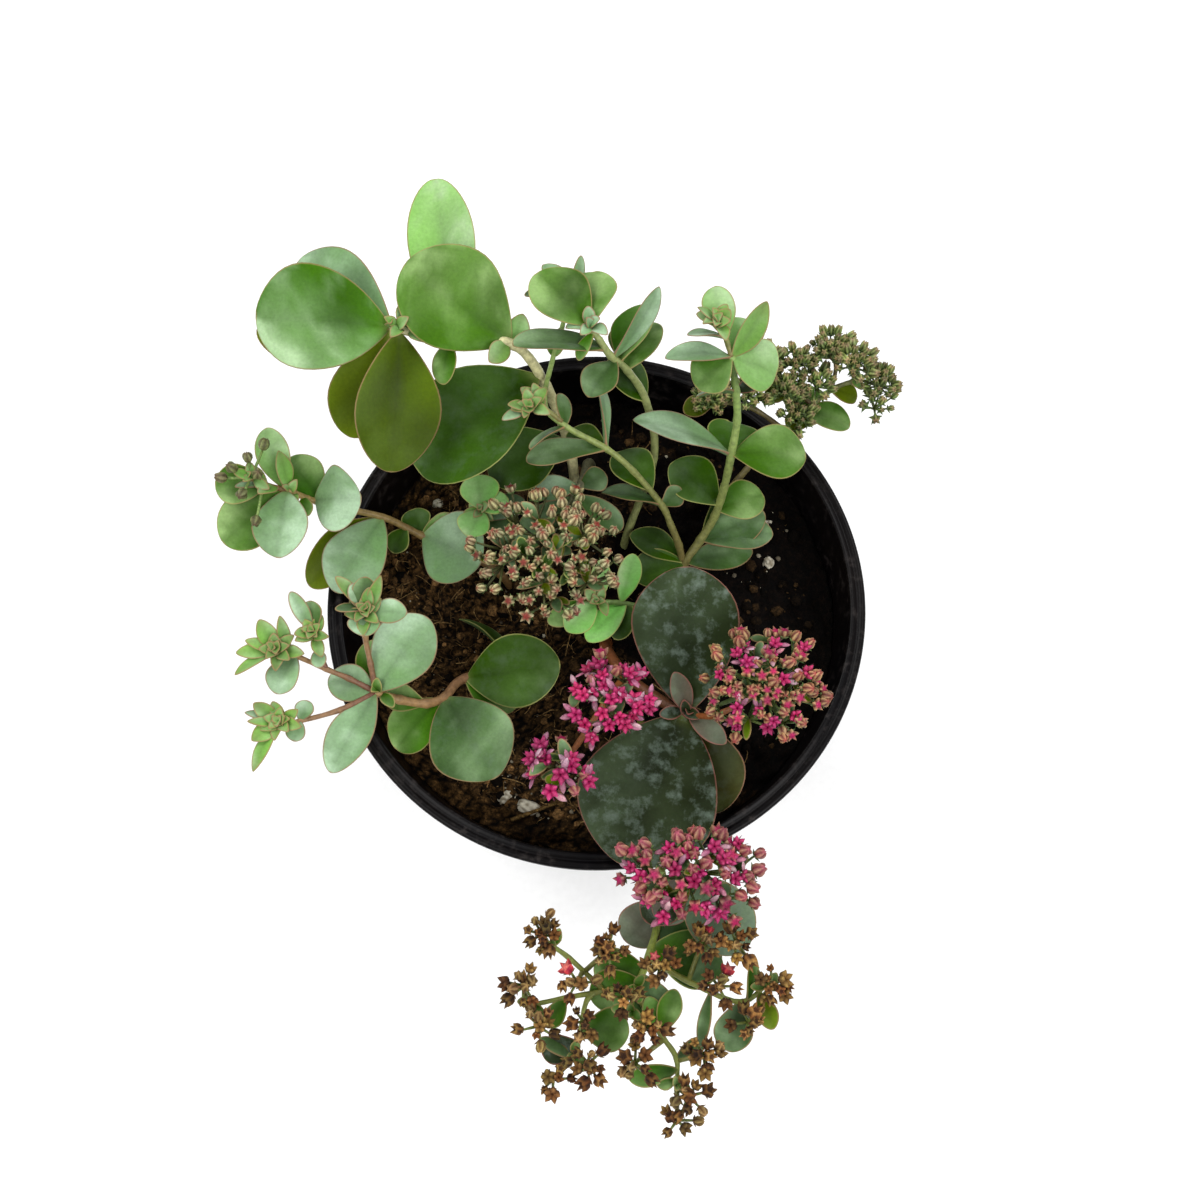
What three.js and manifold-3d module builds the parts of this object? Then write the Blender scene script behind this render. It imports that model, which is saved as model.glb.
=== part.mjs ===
import * as THREE from 'three'
import { mergeVertices } from 'three/addons/utils/BufferGeometryUtils.js'
import Module from 'manifold-3d'

// A trailing stonecrop with round fleshy leaves and pink heads, in a black nursery pot.
// Millimetres, +Z up. The origin is the middle of the pot's flat underside.
// +X is to the right and +Y away from the front, where the old flower spray hangs over the rim.

const wasm = await Module()
wasm.setup()

// Driving dimensions of the pot
const RIM_RADIUS = 82.5
const POT_HEIGHT = 165
const BASE_RADIUS = 66
const WALL = 1.6
const LIP_WIDTH = 5
const SKIRT_DROP = 8
const FOOT_ROUND = 3
const POT_SIDES = 32
const DRAIN_HOLES = 6
const DRAIN_WIDTH = 12
const DRAIN_HEIGHT = 9

// Driving dimensions of the soil
const SOIL_TOP = 145
const SOIL_ROOM = 0.4
const SOIL_SIDES = 20
const SOIL_RINGS = [14, 32, 50, 66]
const SOIL_SWELL = 1.6
const GRAIN_LIFT = 0.6
const GAP = 0.4

// Driving dimensions of the growth
const STEM_SIDES = 5
const STEM_FOOT = 0.3
const BLADE_CORE = 1.5
const NECK = 0.6
const ROOT_DEPTH = 10
const SLIVER = 0.015

// A leaf has a section at each of these shares of its length, and a longer one has more of them, with more
// corners each. A corner is [place from edge to edge, side of the blade]: 1 is the upper side, -1 the lower.
const LENS = [[1, 0], [0, 1], [-1, 0], [0, -1]]
const BROAD_LENS = [[1, 0], [0.45, 1], [-0.45, 1], [-1, 0], [-0.45, -1], [0.45, -1]]
const LEAF_GRIDS = [
  { from: 22, stations: [0.08, 0.3, 0.6, 0.88], section: BROAD_LENS },
  { from: 13, stations: [0.14, 0.48, 0.83], section: LENS },
  { from: 9, stations: [0.36, 0.8], section: LENS },
  { from: 0, stations: [0.62], section: LENS },
]

// Finishes
const FINISH = {
  pot: { color: '#1b191d', roughness: 0.55, metalness: 0 },
  soil: { color: '#2a1c14', roughness: 1, metalness: 0 },
  perlite: { color: '#e6e2d4', roughness: 0.95, metalness: 0 },
  leaf_pale: { color: '#8fb58a', roughness: 0.6, metalness: 0 },
  leaf_bright: { color: '#6f9a4a', roughness: 0.6, metalness: 0 },
  leaf_dark: { color: '#55624f', roughness: 0.65, metalness: 0 },
  bud: { color: '#9a9a6a', roughness: 0.7, metalness: 0 },
  pink: { color: '#c8447a', roughness: 0.6, metalness: 0 },
  seed: { color: '#8a6a45', roughness: 0.85, metalness: 0 },
}

// The stems. A path is a list of places the stem passes through, from its root in the soil to its tip.
// thick is its diameter at the root and at the tip, and head names the flower head seated on the tip.
// A leaf is [at, turn, rise, length, width, roll, bow, cup]: at counts along the path's places from 0,
// turn is the compass heading of the midrib (0 along +X, 90 along +Y) and rise its climb, in degrees,
// roll tips the blade about its midrib, bow is the arch of the midrib and cup the lift of its edges.
// A cluster is [x, y, z, flowers]: small flowers on a twig from the nearest stem of the same spray.
const STEMS = {
  stem_back_left: {
    finish: 'leaf_bright',
    shoots: [
      {
        path: [
          [-6, 22, 131], [-6, 26, 150], [-8, 44, 172], [-15, 56, 194],
          [-24, 61, 210], [-40, 61, 211], [-57, 61, 219],
        ],
        thick: [4.2, 3],
        leaves: [
          [2.2, 208, -6, 27, 24, 10],
          [3.2, 216, -14, 46, 37, 4, 0.08, 0.22],
          [4, 150, 20, 37, 32, -16, 0.08, 0.2],
          [4, 66, 30, 9, 7, 20],
          [4.1, 236, 10, 9, 7, -30],
          [4.9, 100, 10, 50, 21, -12, 0.03, 0.3],
          [5.1, 262, -10, 13, 8, 10],
          [5.9, 265, -26, 40, 26, -26, 0.05, 0.2],
          [6, 180, 8, 37, 32, -18, 0.08, 0.2],
          [6, 141, -6, 38, 23, -14],
          [6, 173, -12, 41, 26, -8],
          [6, 234, -41, 36, 20, -18],
        ],
      },
    ],
  },
  stem_back_middle: {
    finish: 'leaf_pale',
    shoots: [
      {
        path: [
          [8, 22, 131], [10, 26, 150], [18, 44, 170], [15, 54, 188],
          [9, 58, 200], [4, 59, 207], [1, 61, 212], [-2, 63, 216],
        ],
        thick: [3.2, 2.2],
        leaves: [
          [3, 139, 24, 17, 15, 20],
          [4, 75, -12, 20, 18, -10],
          [4.4, 66, 2, 21, 15, -30],
          [4.6, 235, -4, 14, 12, 10],
          [5.4, 184, 12, 27, 14, 30],
          [4.8, 52, 26, 24, 9, 66, 0.04],
          [6.6, 240, -20, 9, 5, 20],
          [7, 133, 6, 22, 19, 4],
          [7, 86, -4, 19, 16, -10],
        ],
      },
    ],
  },
  stem_forked: {
    finish: 'leaf_pale',
    shoots: [
      {
        path: [
          [27, 12, 131], [28, 15, 150], [33, 21, 157], [37, 26, 165], [39, 31, 176],
          [40, 36, 189], [41, 43, 198], [40, 48, 206], [38, 54, 215],
        ],
        thick: [3.4, 2.4],
        leaves: [
          [1.1, 155, 12, 20, 12, 16],
          [1.1, 196, 6, 18, 14, -14],
          [1.1, 8, 8, 22, 11, 10],
          [2, 68, 10, 15, 8, 55],
          [2, 18, 16, 22, 14, 22],
          [2, 2, 8, 23, 14, -14],
          [3.2, 22, -4, 16, 14, 8],
          [3.4, 138, 6, 20, 17, 6],
          [5, 163, 8, 31, 15, 34],
          [5, -3, 4, 22, 19, -6],
          [5, 88, -20, 14, 16, 4],
          [7, 193, 10, 12, 8, 60],
          [7, 36, 16, 8, 7, 60],
          [8, 184, 6, 19, 10, 26],
          [8, 54, 24, 18, 8, 34, 0.05, 0.4],
          [8, 68, -10, 15, 13, 0],
          [8, -14, -16, 14, 18, 4],
          [8, 218, -16, 13, 14, 4],
        ],
      },
      {
        path: [[38, 54, 215], [36, 58, 219], [33, 60, 223]],
        thick: [2, 1.4],
        leaves: [
          [1, 102, 10, 15, 10, -6],
          [1, 182, 10, 11, 6, 40],
          [2, 150, 30, 7, 4, 30],
          [1.9, 33, 50, 6, 5, 24],
        ],
      },
      {
        path: [
          [28, 15, 149], [26, 19, 158], [23, 23, 166], [20, 27, 172], [11, 33, 184], [3, 37, 191],
          [-9, 41, 198], [-15, 47, 200], [-13, 61, 200], [-10, 70, 204], [-8, 78, 208],
        ],
        thick: [2.8, 1.5],
        leaves: [
          [3, 172, 8, 19, 11, 42],
          [3, 38, 8, 8, 8, 40],
          [3.4, 125, -8, 18, 15, 10],
          [5, 99, 12, 23, 9, 70, 0.04],
          [5, 190, 2, 24, 12, 24],
          [5, 150, -26, 16, 12, 0],
          [6, 100, 10, 10, 6, 30],
          [6, 218, 6, 13, 6, 46],
          [10, 70, 24, 12, 5, 50],
          [10, 130, 12, 12, 7, 10],
          [10, 182, 4, 13, 6, 20],
          [9, 250, -30, 9, 6, 10],
        ],
      },
      {
        path: [[-10, 42, 199], [-15, 44, 203], [-19, 43, 205]],
        thick: [1.8, 1.5],
        leaves: [
          [1, 142, 20, 9, 5, 10],
          [1, 116, 30, 8, 4, -20],
          [2, 184, 30, 7, 4, 10],
          [2, 210, 10, 9, 4, 10],
          [2, 270, 50, 5, 4, 10],
        ],
      },
    ],
  },
  spray_back_right: {
    finish: 'bud',
    flower: 'tiny_bud',
    shoots: [
      {
        path: [
          [36, 30, 131], [37, 31, 148], [44, 38, 163], [52, 45, 172],
          [62, 53, 179], [72, 60, 184], [80, 62, 187],
        ],
        thick: [3, 1.6],
        leaves: [
          [4, 80, -6, 13, 14, 0],
          [4.2, -14, -8, 15, 12, -10],
          [4.2, 240, 10, 9, 8, 10],
          [5, -10, -20, 9, 8, 0],
        ],
      },
      {
        path: [[58, 50, 177], [50, 54, 181], [44, 56, 182], [36, 57, 182]],
        thick: [1.9, 1.5],
        leaves: [[3, 200, 0, 10, 8, 0]],
      },
      {
        path: [[66, 56, 182], [60, 60, 185], [54, 64, 186]],
        thick: [1.6, 1.4],
        leaves: [[1, 190, -20, 9, 8, 0]],
      },
      { path: [[72, 60, 184], [73, 66, 188], [71, 69, 189]], thick: [1.6, 1.4] },
    ],
    clusters: [
      [52, 66, 191, 8], [61, 66, 192, 7], [71, 70, 194, 8], [78, 65, 193, 8], [86, 60, 190, 6],
      [85, 54, 187, 3], [57.5, 58, 189, 8], [61, 51, 185, 6], [67, 60, 190, 5], [46, 58, 187, 5],
      [35, 57, 187, 8],
    ],
  },
  stem_left: {
    finish: 'leaf_pale',
    shoots: [
      {
        path: [
          [-28, 10, 131], [-30, 11, 150], [-41, 17, 155], [-55, 21, 161],
          [-66, 24, 169], [-82, 24, 180], [-91, 25, 188],
        ],
        thick: [3.2, 2.2],
        leaves: [
          [3, -26, 8, 22, 26, 10],
          [3, 16, 4, 13, 11, 10],
          [3, 110, -6, 10, 10, 0],
          [3.4, 240, -10, 9, 8, 0],
          [4, 242, 2, 28, 20, -6],
          [4, 223, -8, 31, 17, 2],
          [5.2, -6, 24, 17, 21, 14, 0.1],
          [5, 128, 8, 18, 14, 0],
          [5.5, 285, 10, 7, 5, 0],
          [6, 111, 10, 20, 11, -10],
          [6, 100, 36, 12, 6, 40],
          [6, 222, -4, 24, 19, -8],
          [6, 268, 6, 22, 17, -4],
        ],
      },
      {
        path: [[-91, 25, 188], [-96, 25, 192], [-100, 26, 195]],
        thick: [2, 1.5],
        leaves: [
          [1, 180, 2, 15, 13, -14],
          [1, 142, 20, 8, 5, 0],
          [1, 192, 20, 9, 3, 10],
          [2, 190, 55, 6, 4, 0],
          [0.5, 235, 50, 9, 5, 0],
        ],
      },
    ],
  },
  stem_front_left: {
    finish: 'leaf_pale',
    shoots: [
      {
        path: [
          [-22, -19, 131], [-24, -20, 150], [-40, -25, 160], [-45, -32, 166],
          [-50, -35, 170], [-57, -35, 175], [-63, -34, 180],
        ],
        thick: [3.6, 2.8],
        leaves: [
          [1.1, 140, 12, 24, 12, 70, 0.12],
          [2, 5, 12, 30, 24, 8],
          [2, -30, -8, 18, 12, 0],
          [3, -58, 8, 30, 27, -4],
          [3.2, 228, -10, 20, 17, 10],
          [4, 165, 4, 14, 9, -20],
          [6, 55, 12, 26, 20, 4],
          [6, 100, -4, 16, 10, 0],
          [6, 245, 4, 26, 13, -6],
          [6, 165, 10, 14, 12, 0],
        ],
      },
      {
        path: [[-63, -34, 180], [-64, -27, 185], [-65, -20, 190], [-64, -14, 194]],
        thick: [2, 1.8],
        leaves: [
          [3, 92, 34, 10, 8, 0],
          [3, 60, 40, 12, 4, 30],
          [3, -8, 12, 12, 8, 0],
          [3, 182, 20, 9, 4, 30],
          [3, 265, 10, 8, 10, 0],
          [3, 135, 20, 13, 5, 20],
          [3, 122, 30, 9, 6, 0],
          [3, 75, 50, 8, 4, 0],
          [3, 20, 70, 5, 4, 0],
        ],
      },
      {
        path: [[-63, -34, 180], [-72, -40, 184], [-82, -44, 188], [-87, -45, 190]],
        thick: [2, 1.5],
        leaves: [
          [2, 72, 0, 6, 6, 0],
          [2, 258, 0, 6, 6, 0],
          [3, 145, 20, 9, 5, 0],
          [3, 165, 10, 10, 3, 20],
          [3, 220, 16, 9, 6, 0],
          [3, 246, 4, 15, 5, 20],
          [3, 184, 30, 9, 3, 0],
          [3, 20, 60, 5, 4, 0],
        ],
      },
      {
        path: [[-63, -34, 180], [-70, -31, 184], [-76, -29, 187], [-84, -26, 190], [-89, -25, 192]],
        thick: [2, 1.5],
        leaves: [
          [3, 246, 4, 12, 10, 0],
          [4, 120, 26, 10, 6, 0],
          [4, 165, 20, 9, 4, 10],
          [4, 186, 10, 11, 5, 0],
          [4, 214, 6, 13, 4, 20],
          [4, 90, 50, 6, 4, 0],
          [3.4, 100, 30, 11, 4, 20],
        ],
      },
      {
        path: [[-76, -29, 187], [-78, -24, 190], [-79, -20, 193]],
        thick: [1.8, 1.5],
        leaves: [
          [1, 280, 10, 6, 5, 0],
          [2, 98, 14, 9, 7, 0],
          [2, 120, 24, 13, 5, 10],
          [2, 200, 40, 6, 4, 0],
        ],
      },
    ],
  },
  shoot_rosette: {
    finish: 'leaf_pale',
    shoots: [
      {
        path: [[-30, 23, 131], [-31, 23, 150], [-34, 23, 164], [-35, 24, 175]],
        thick: [2.2, 1.8],
        leaves: [
          [2, 95, -4, 11, 12, 0],
          [3, 96, 14, 11, 13, 0],
          [3, 250, 8, 10, 11, 0],
          [3, 20, 10, 9, 8, 0],
          [2.4, 28, 0, 14, 9, 0],
          [2.4, -28, -4, 10, 9, 0],
          [3, 0, 60, 5, 4, 0],
        ],
      },
    ],
  },
  shoot_middle: {
    finish: 'leaf_pale',
    shoots: [
      {
        path: [[24, -6, 131], [22, -6, 150], [14, -3, 161], [6, -3, 167], [0, -4, 170]],
        thick: [2.4, 1.7],
        leaves: [
          [2.4, 245, -6, 12, 8, 0],
          [2.6, 225, 2, 17, 10, 6],
          [2.8, 75, 6, 16, 8, 10],
          [4, 84, 16, 13, 7, 20],
          [4, 226, 6, 13, 10, 0],
          [4, 200, -10, 16, 8, 0],
          [4, 140, 40, 6, 4, 0],
        ],
      },
    ],
  },
  stem_middle: {
    finish: 'leaf_pale',
    shoots: [
      {
        path: [
          [-2, 50, 131], [-2, 50, 150], [-3, 44, 164], [-5, 32, 174], [-12, 14, 180], [-14, 8, 184],
        ],
        thick: [3.4, 3],
        head: 'head_middle',
        leaves: [
          [3, 24, 4, 9, 9, 0],
          [3, 190, 4, 15, 10, 10],
          [3.2, 215, -28, 26, 12, 0],
          [3.2, -30, -24, 18, 9, 0],
        ],
      },
    ],
  },
  stem_front: {
    finish: 'leaf_dark',
    shoots: [
      {
        path: [
          [4, -8, 131], [3, -11, 150], [3, -15, 158], [9, -25, 164], [20, -34, 167], [27, -38, 169],
        ],
        thick: [4.4, 3.4],
        leaves: [
          [5, 91, 9, 44, 34, 0, 0.05, 0.14],
          [4.8, 248, 2, 48, 43, 0, 0.06, 0.12],
          [5, 285, -12, 30, 26, 10],
          [5, 112, 34, 14, 7, 0],
          [5, -44, 20, 15, 7, 0],
        ],
      },
      {
        path: [[27, -38, 169], [33, -40, 176], [41, -38, 183], [46, -35, 190]],
        thick: [2.2, 2],
        head: 'head_right',
      },
      {
        path: [
          [27, -38, 168], [25, -52, 165], [23, -66, 166], [23, -78, 169], [25, -85, 178], [25, -86, 190],
        ],
        thick: [2.4, 2],
        head: 'head_front',
        leaves: [
          [4, -54, 2, 25, 20, 0],
          [4, 240, 0, 15, 12, 0],
          [4, 226, 0, 17, 13, 0],
        ],
      },
      {
        path: [[9, -25, 165], [5, -32, 174], [3, -38, 186]],
        thick: [2.4, 2],
        head: 'head_left',
      },
      {
        path: [[5, -32, 174], [-5, -48, 177], [-10, -57, 185]],
        thick: [2.2, 1.8],
        head: 'head_left_small',
      },
    ],
  },
  spray_trailing: {
    finish: 'seed',
    flower: 'seed',
    shoots: [
      {
        path: [
          [12, -30, 131], [13, -32, 150], [15, -55, 163], [16, -74, 168],
          [19, -88, 170], [14, -107, 177], [10, -115, 180],
        ],
        thick: [3, 2.2],
        leaves: [
          [4.2, 226, -6, 15, 14, 0],
          [4.3, -50, -6, 15, 14, 0],
          [4.8, -14, -8, 20, 17, 0],
          [5.2, 184, -8, 14, 12, 0],
          [5.4, 290, -6, 14, 12, 0],
          [5.6, 200, -4, 14, 12, 0],
        ],
      },
      {
        path: [[10, -115, 180], [4, -115, 180], [-2, -117, 180], [-4, -125, 181], [-6, -132, 181]],
        thick: [2, 1.4],
        leaves: [
          [3, 0, -10, 13, 12, 0],
          [3.4, 200, -10, 10, 8, 0],
          [4, 150, 0, 10, 4, 20],
        ],
      },
      {
        path: [[4, -115, 180], [-8, -117, 180], [-18, -119, 181]],
        thick: [1.8, 1.4],
        leaves: [[1, 236, -6, 9, 6, 0]],
      },
      { path: [[2, -115, 180], [-7, -107, 182], [-13, -103, 183]], thick: [1.8, 1.4] },
      {
        path: [[14, -107, 177], [25, -113, 181], [38, -118, 181], [46, -113, 182]],
        thick: [2, 1.4],
        leaves: [
          [2, 255, -8, 13, 11, 0],
          [1.4, 258, 0, 14, 4, 20],
          [2.2, 80, 10, 12, 4, 30],
          [2.6, 290, 0, 10, 6, 0],
          [1, 40, -10, 11, 9, 0],
        ],
      },
      {
        path: [[10, -115, 180], [17, -126, 180], [21, -132, 180], [21, -139, 180]],
        thick: [2, 1.4],
        leaves: [
          [1, 70, 4, 12, 7, 0],
          [1, 110, 0, 10, 6, 0],
          [2.4, 190, 0, 13, 6, 0],
          [2, 30, 0, 9, 5, 0],
        ],
      },
      { path: [[10, -115, 180], [9, -121, 183]], thick: [1.8, 1.4] },
    ],
    clusters: [
      [-14, -101, 189, 8], [3, -105, 190, 7], [17, -109, 190, 6], [-19, -114, 186, 7],
      [-15, -124, 186, 6], [-5, -113, 188, 4], [-3, -123, 187, 4], [7, -117, 190, 5],
      [13, -124, 189, 6], [28, -103, 190, 7], [37, -103, 189, 6], [32, -114, 188, 5],
      [46, -114, 187, 7], [40, -123, 186, 5], [28, -131, 187, 6], [24, -141, 184, 6],
      [21, -147, 182, 4], [-2, -133, 187, 6], [-11, -137, 184, 4], [10, -133, 187, 5],
    ],
  },
}

// The flowers. Each stands on one face of its core. spread is the half width of its rim and room the most
// that this may be as a share of the way from the middle of the face to its nearest edge, shoulder is the
// height of the rim as a share of the reach, and notch how far the rim comes in between a star's points.
const FLOWERS = {
  bud: { sides: 4, reach: 5.2, spread: 2, room: 0.7, shoulder: 0.6, notch: 1 },
  tiny_bud: { sides: 4, reach: 3.8, spread: 1.4, room: 2, shoulder: 0.6, notch: 1 },
  seed: { sides: 5, reach: 4.3, spread: 2, room: 2, shoulder: 0.85, notch: 1 },
  star: { sides: 10, reach: 7, spread: 3.9, room: 1.5, shoulder: 0.94, notch: 0.42 },
}
// A flower stands on a face that looks up by this much or more, and on a knot away from its tail by this.
// Its reach is this share of its own at the least, with as much as this more by chance.
const FACE_RISE = 0.05
const FACE_AWAY = 0.2
const LEAST_REACH = 0.9
const MORE_REACH = 0.2

// Half the width of the knot of stalks that a small cluster stands on, how far the knot's top lies below the
// cluster's place, and the most flowers that the knot with fewer faces takes
const KNOT = { tiny_bud: 2.2, seed: 2.7 }
const KNOT_DROP = 1
const FEW_FLOWERS = 4

// The round heads. A lobe is [x, y, z, half length, half width, depth, detail]: the low cushion of stalks
// under it. open is the share of its places for open flowers that have one. A lobe of detail 0 is all open.
const LOBE_ROUGHNESS = 0.06
const HEADS = {
  head_middle: { finish: 'bud', lobes: [[-14, 6, 182, 17, 18, 9, 1]], open: 0, seed: 11 },
  head_right: { finish: 'pink', lobes: [[46, -35, 189, 15, 14, 9, 1]], open: 0.4, seed: 23 },
  head_front: { finish: 'pink', lobes: [[25, -86, 189, 15.5, 9.5, 8, 1]], open: 1, seed: 37 },
  head_left: { finish: 'pink', lobes: [[3, -38, 185, 9, 8, 8, 0]], open: 1, seed: 41 },
  head_left_small: { finish: 'pink', lobes: [[-10, -57.5, 184, 6, 6, 5.5, 0]], open: 1, seed: 43 },
}

// Grains of perlite on the soil: [x, y, length, width, turn]
const PERLITE = {
  perlite_front: [-21, -62, 8, 5, -10],
  perlite_left: [-28, -59, 5, 4, 30],
  perlite_back: [-53, 38, 5, 4, 60],
  perlite_right: [56, 30, 4.5, 4, 20],
  perlite_side: [56, 17, 4.5, 4, 80],
}

// Chance draws that come out the same every time
function draws(seed) {
  let state = seed
  return () => {
    state = (Math.imul(state, 1664525) + 1013904223) >>> 0
    return state / 4294967296
  }
}

const point = (x, y, z) => new THREE.Vector3(x, y, z)
const radians = (degrees) => (degrees * Math.PI) / 180

function solid(vertProperties, triVerts) {
  return new wasm.Manifold(new wasm.Mesh({ numProp: 3, vertProperties, triVerts }))
}

// A three.js geometry as a solid, with its shared corners merged
function fromGeometry(geometry) {
  const plain = geometry.clone()
  plain.deleteAttribute('normal')
  plain.deleteAttribute('uv')
  const merged = mergeVertices(plain, 1e-4)
  return solid(new Float32Array(merged.attributes.position.array), new Uint32Array(merged.index.array))
}

const joined = (bodies) => wasm.Manifold.union(bodies)

// The triangles of a joined body, with corners nearer than a sliver made one. The triangles that this shuts
// are left out, and so are two that it lays back to back.
function withoutSlivers(vertProperties, triVerts) {
  const place = (k) => point(...vertProperties.subarray(3 * k, 3 * k + 3))
  const owner = Array.from({ length: vertProperties.length / 3 }, (_, k) => k)
  const find = (k) => (owner[k] === k ? k : find(owner[k]))
  for (let i = 0; i < triVerts.length; i += 1) {
    const next = i % 3 === 2 ? i - 2 : i + 1
    const [a, b] = [find(triVerts[i]), find(triVerts[next])]
    if (place(a).distanceTo(place(b)) < SLIVER) owner[a] = b
  }
  const kept = new Map()
  for (let i = 0; i < triVerts.length; i += 3) {
    const corners = [find(triVerts[i]), find(triVerts[i + 1]), find(triVerts[i + 2])]
    const key = corners.slice().sort((a, b) => a - b).join()
    if (new Set(corners).size === 3 && !kept.delete(key)) kept.set(key, corners)
  }
  return new Uint32Array([...kept.values()].flat())
}

function named(name, body, finish) {
  const { vertProperties, triVerts } = body.getMesh()
  const geometry = new THREE.BufferGeometry()
  geometry.setAttribute('position', new THREE.BufferAttribute(vertProperties, 3))
  geometry.setIndex(new THREE.BufferAttribute(withoutSlivers(vertProperties, triVerts), 1))
  geometry.computeVertexNormals()
  const node = new THREE.Mesh(geometry, new THREE.MeshStandardMaterial(FINISH[finish]))
  node.name = name
  return node
}

// A closed skin through rings of points, with one point at each end.
// The rings run anticlockwise about the way from start to end.
// On a mirrored skin the second half of each ring is split like the first, as the two faces of a leaf are.
function skin(rings, start, end, mirrored = false) {
  const sides = rings[0].length
  const vertices = []
  const triangles = []
  const put = (p) => {
    vertices.push(p.x, p.y, p.z)
    return vertices.length / 3 - 1
  }
  const first = put(start)
  const rows = rings.map((ring) => ring.map(put))
  const last = put(end)
  for (let k = 0; k < sides; k += 1) {
    const next = (k + 1) % sides
    const turned = mirrored && k >= sides / 2
    triangles.push(first, rows[0][next], rows[0][k])
    triangles.push(last, rows[rows.length - 1][k], rows[rows.length - 1][next])
    for (let i = 0; i + 1 < rows.length; i += 1) {
      const [a, b, c, d] = [rows[i][k], rows[i][next], rows[i + 1][next], rows[i + 1][k]]
      if (turned) triangles.push(a, b, d, b, c, d)
      else triangles.push(a, b, c, a, c, d)
    }
  }
  return solid(new Float32Array(vertices), new Uint32Array(triangles))
}

function ringAbout(centre, across, up, radius, sides) {
  return Array.from({ length: sides }, (_, k) => {
    const angle = (2 * Math.PI * k) / sides
    return centre.clone()
      .addScaledVector(across, radius * Math.cos(angle))
      .addScaledVector(up, radius * Math.sin(angle))
  })
}

// Two directions square to a third, the first of them as near as can be to a fourth
function sideways(out, hint) {
  const across = hint.clone().projectOnPlane(out).normalize()
  return [across, out.clone().cross(across)]
}

// The place on a path that counts as at: 0 is its first place, 1 its second, and 1.5 half way to its third
function along(path, at) {
  const from = Math.min(Math.floor(at), path.length - 2)
  return point(...path[from]).lerp(point(...path[from + 1]), at - from)
}

// A round stem along its path, drawn in from one thickness to the other. spare makes it fatter all round.
function limb(path, thick, sides = STEM_SIDES, spare = 0) {
  const places = path.map((p) => point(...p))
  const last = places.length - 1
  const headings = places.map((_, i) => {
    return places[Math.min(i + 1, last)].clone().sub(places[Math.max(i - 1, 0)]).normalize()
  })
  let across = Math.abs(headings[0].x) < 0.7 ? point(1, 0, 0) : point(0, 1, 0)
  const rings = places.map((place, i) => {
    const radius = (thick[0] + ((thick[1] - thick[0]) * i) / last) / 2 + spare
    const frame = sideways(headings[i], across)
    across = frame[0]
    const centre = place.clone()
    if (i === 0) centre.addScaledVector(headings[i], -spare)
    if (i === last) centre.addScaledVector(headings[i], spare)
    return ringAbout(centre, ...frame, radius, sides)
  })
  const root = places[0].clone().addScaledVector(headings[0], -STEM_FOOT - spare)
  const tip = places[last].clone().addScaledVector(headings[last], thick[1] / 2 + 2 * spare)
  return skin(rings, root, tip)
}

// Half the width of a leaf at u along its midrib, as a share of its half width: a narrow neck,
// the widest place past the middle, and a round tip
function outline(u) {
  return (Math.sin(Math.PI * u ** 1.25) ** 0.55 * u) / (u + 0.04)
}

// One fleshy leaf. Its cross-section is a lens, its edges are lifted by the cup and its midrib is arched.
function leaf(root, [, turn, rise, length, width, roll = 0, bow = 0.06, cup = 0.2]) {
  const [heading, climb, tilt] = [radians(turn), radians(rise), radians(roll)]
  const ahead = point(Math.cos(heading), Math.sin(heading), 0)
  const level = point(-Math.sin(heading), Math.cos(heading), 0)
  const midrib = ahead.multiplyScalar(Math.cos(climb)).setZ(Math.sin(climb))
  const up = midrib.clone().cross(level)
  const side = level.clone().multiplyScalar(Math.cos(tilt)).addScaledVector(up, Math.sin(tilt))
  const face = up.clone().multiplyScalar(Math.cos(tilt)).addScaledVector(level, -Math.sin(tilt))
  const core = BLADE_CORE * (0.7 + length / 80)
  const at = (u, v, upper) => {
    const half = Math.max((width / 2) * outline(u), NECK)
    const lift = bow * length * 4 * u * (1 - u) + cup * half * v * v + (upper * core * (1 - v * v)) / 2
    return root.clone()
      .addScaledVector(midrib, length * u)
      .addScaledVector(side, half * v)
      .addScaledVector(face, lift)
  }
  const { stations, section } = LEAF_GRIDS.find(({ from }) => length >= from)
  const rings = stations.map((u) => section.map(([v, upper]) => at(u, v, upper)))
  return skin(rings, root, at(1, 0, 0), true)
}

// A stem with its leaves
function shoot({ path, thick, leaves = [] }) {
  return [limb(path, thick), ...leaves.map((entry) => leaf(along(path, entry[0]), entry))]
}

// The rim of a flower. A star's rim has its points out and up, with a notch between them.
function rimAbout(centre, across, out, radius, { sides, notch }) {
  const rim = ringAbout(centre, across, out.clone().cross(across), radius, sides)
  return rim.map((p, k) => (k % 2 === 0 ? p : p.lerp(centre, 1 - notch).addScaledVector(out, notch - 1)))
}

// How far a point lies from the nearest side of a triangle
function clearance(middle, [a, b, c]) {
  const away = (from, to) => {
    const near = new THREE.Line3(from, to).closestPointToPoint(middle, true, point(0, 0, 0))
    return near.distanceTo(middle)
  }
  return Math.min(away(a, b), away(b, c), away(c, a))
}

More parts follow.
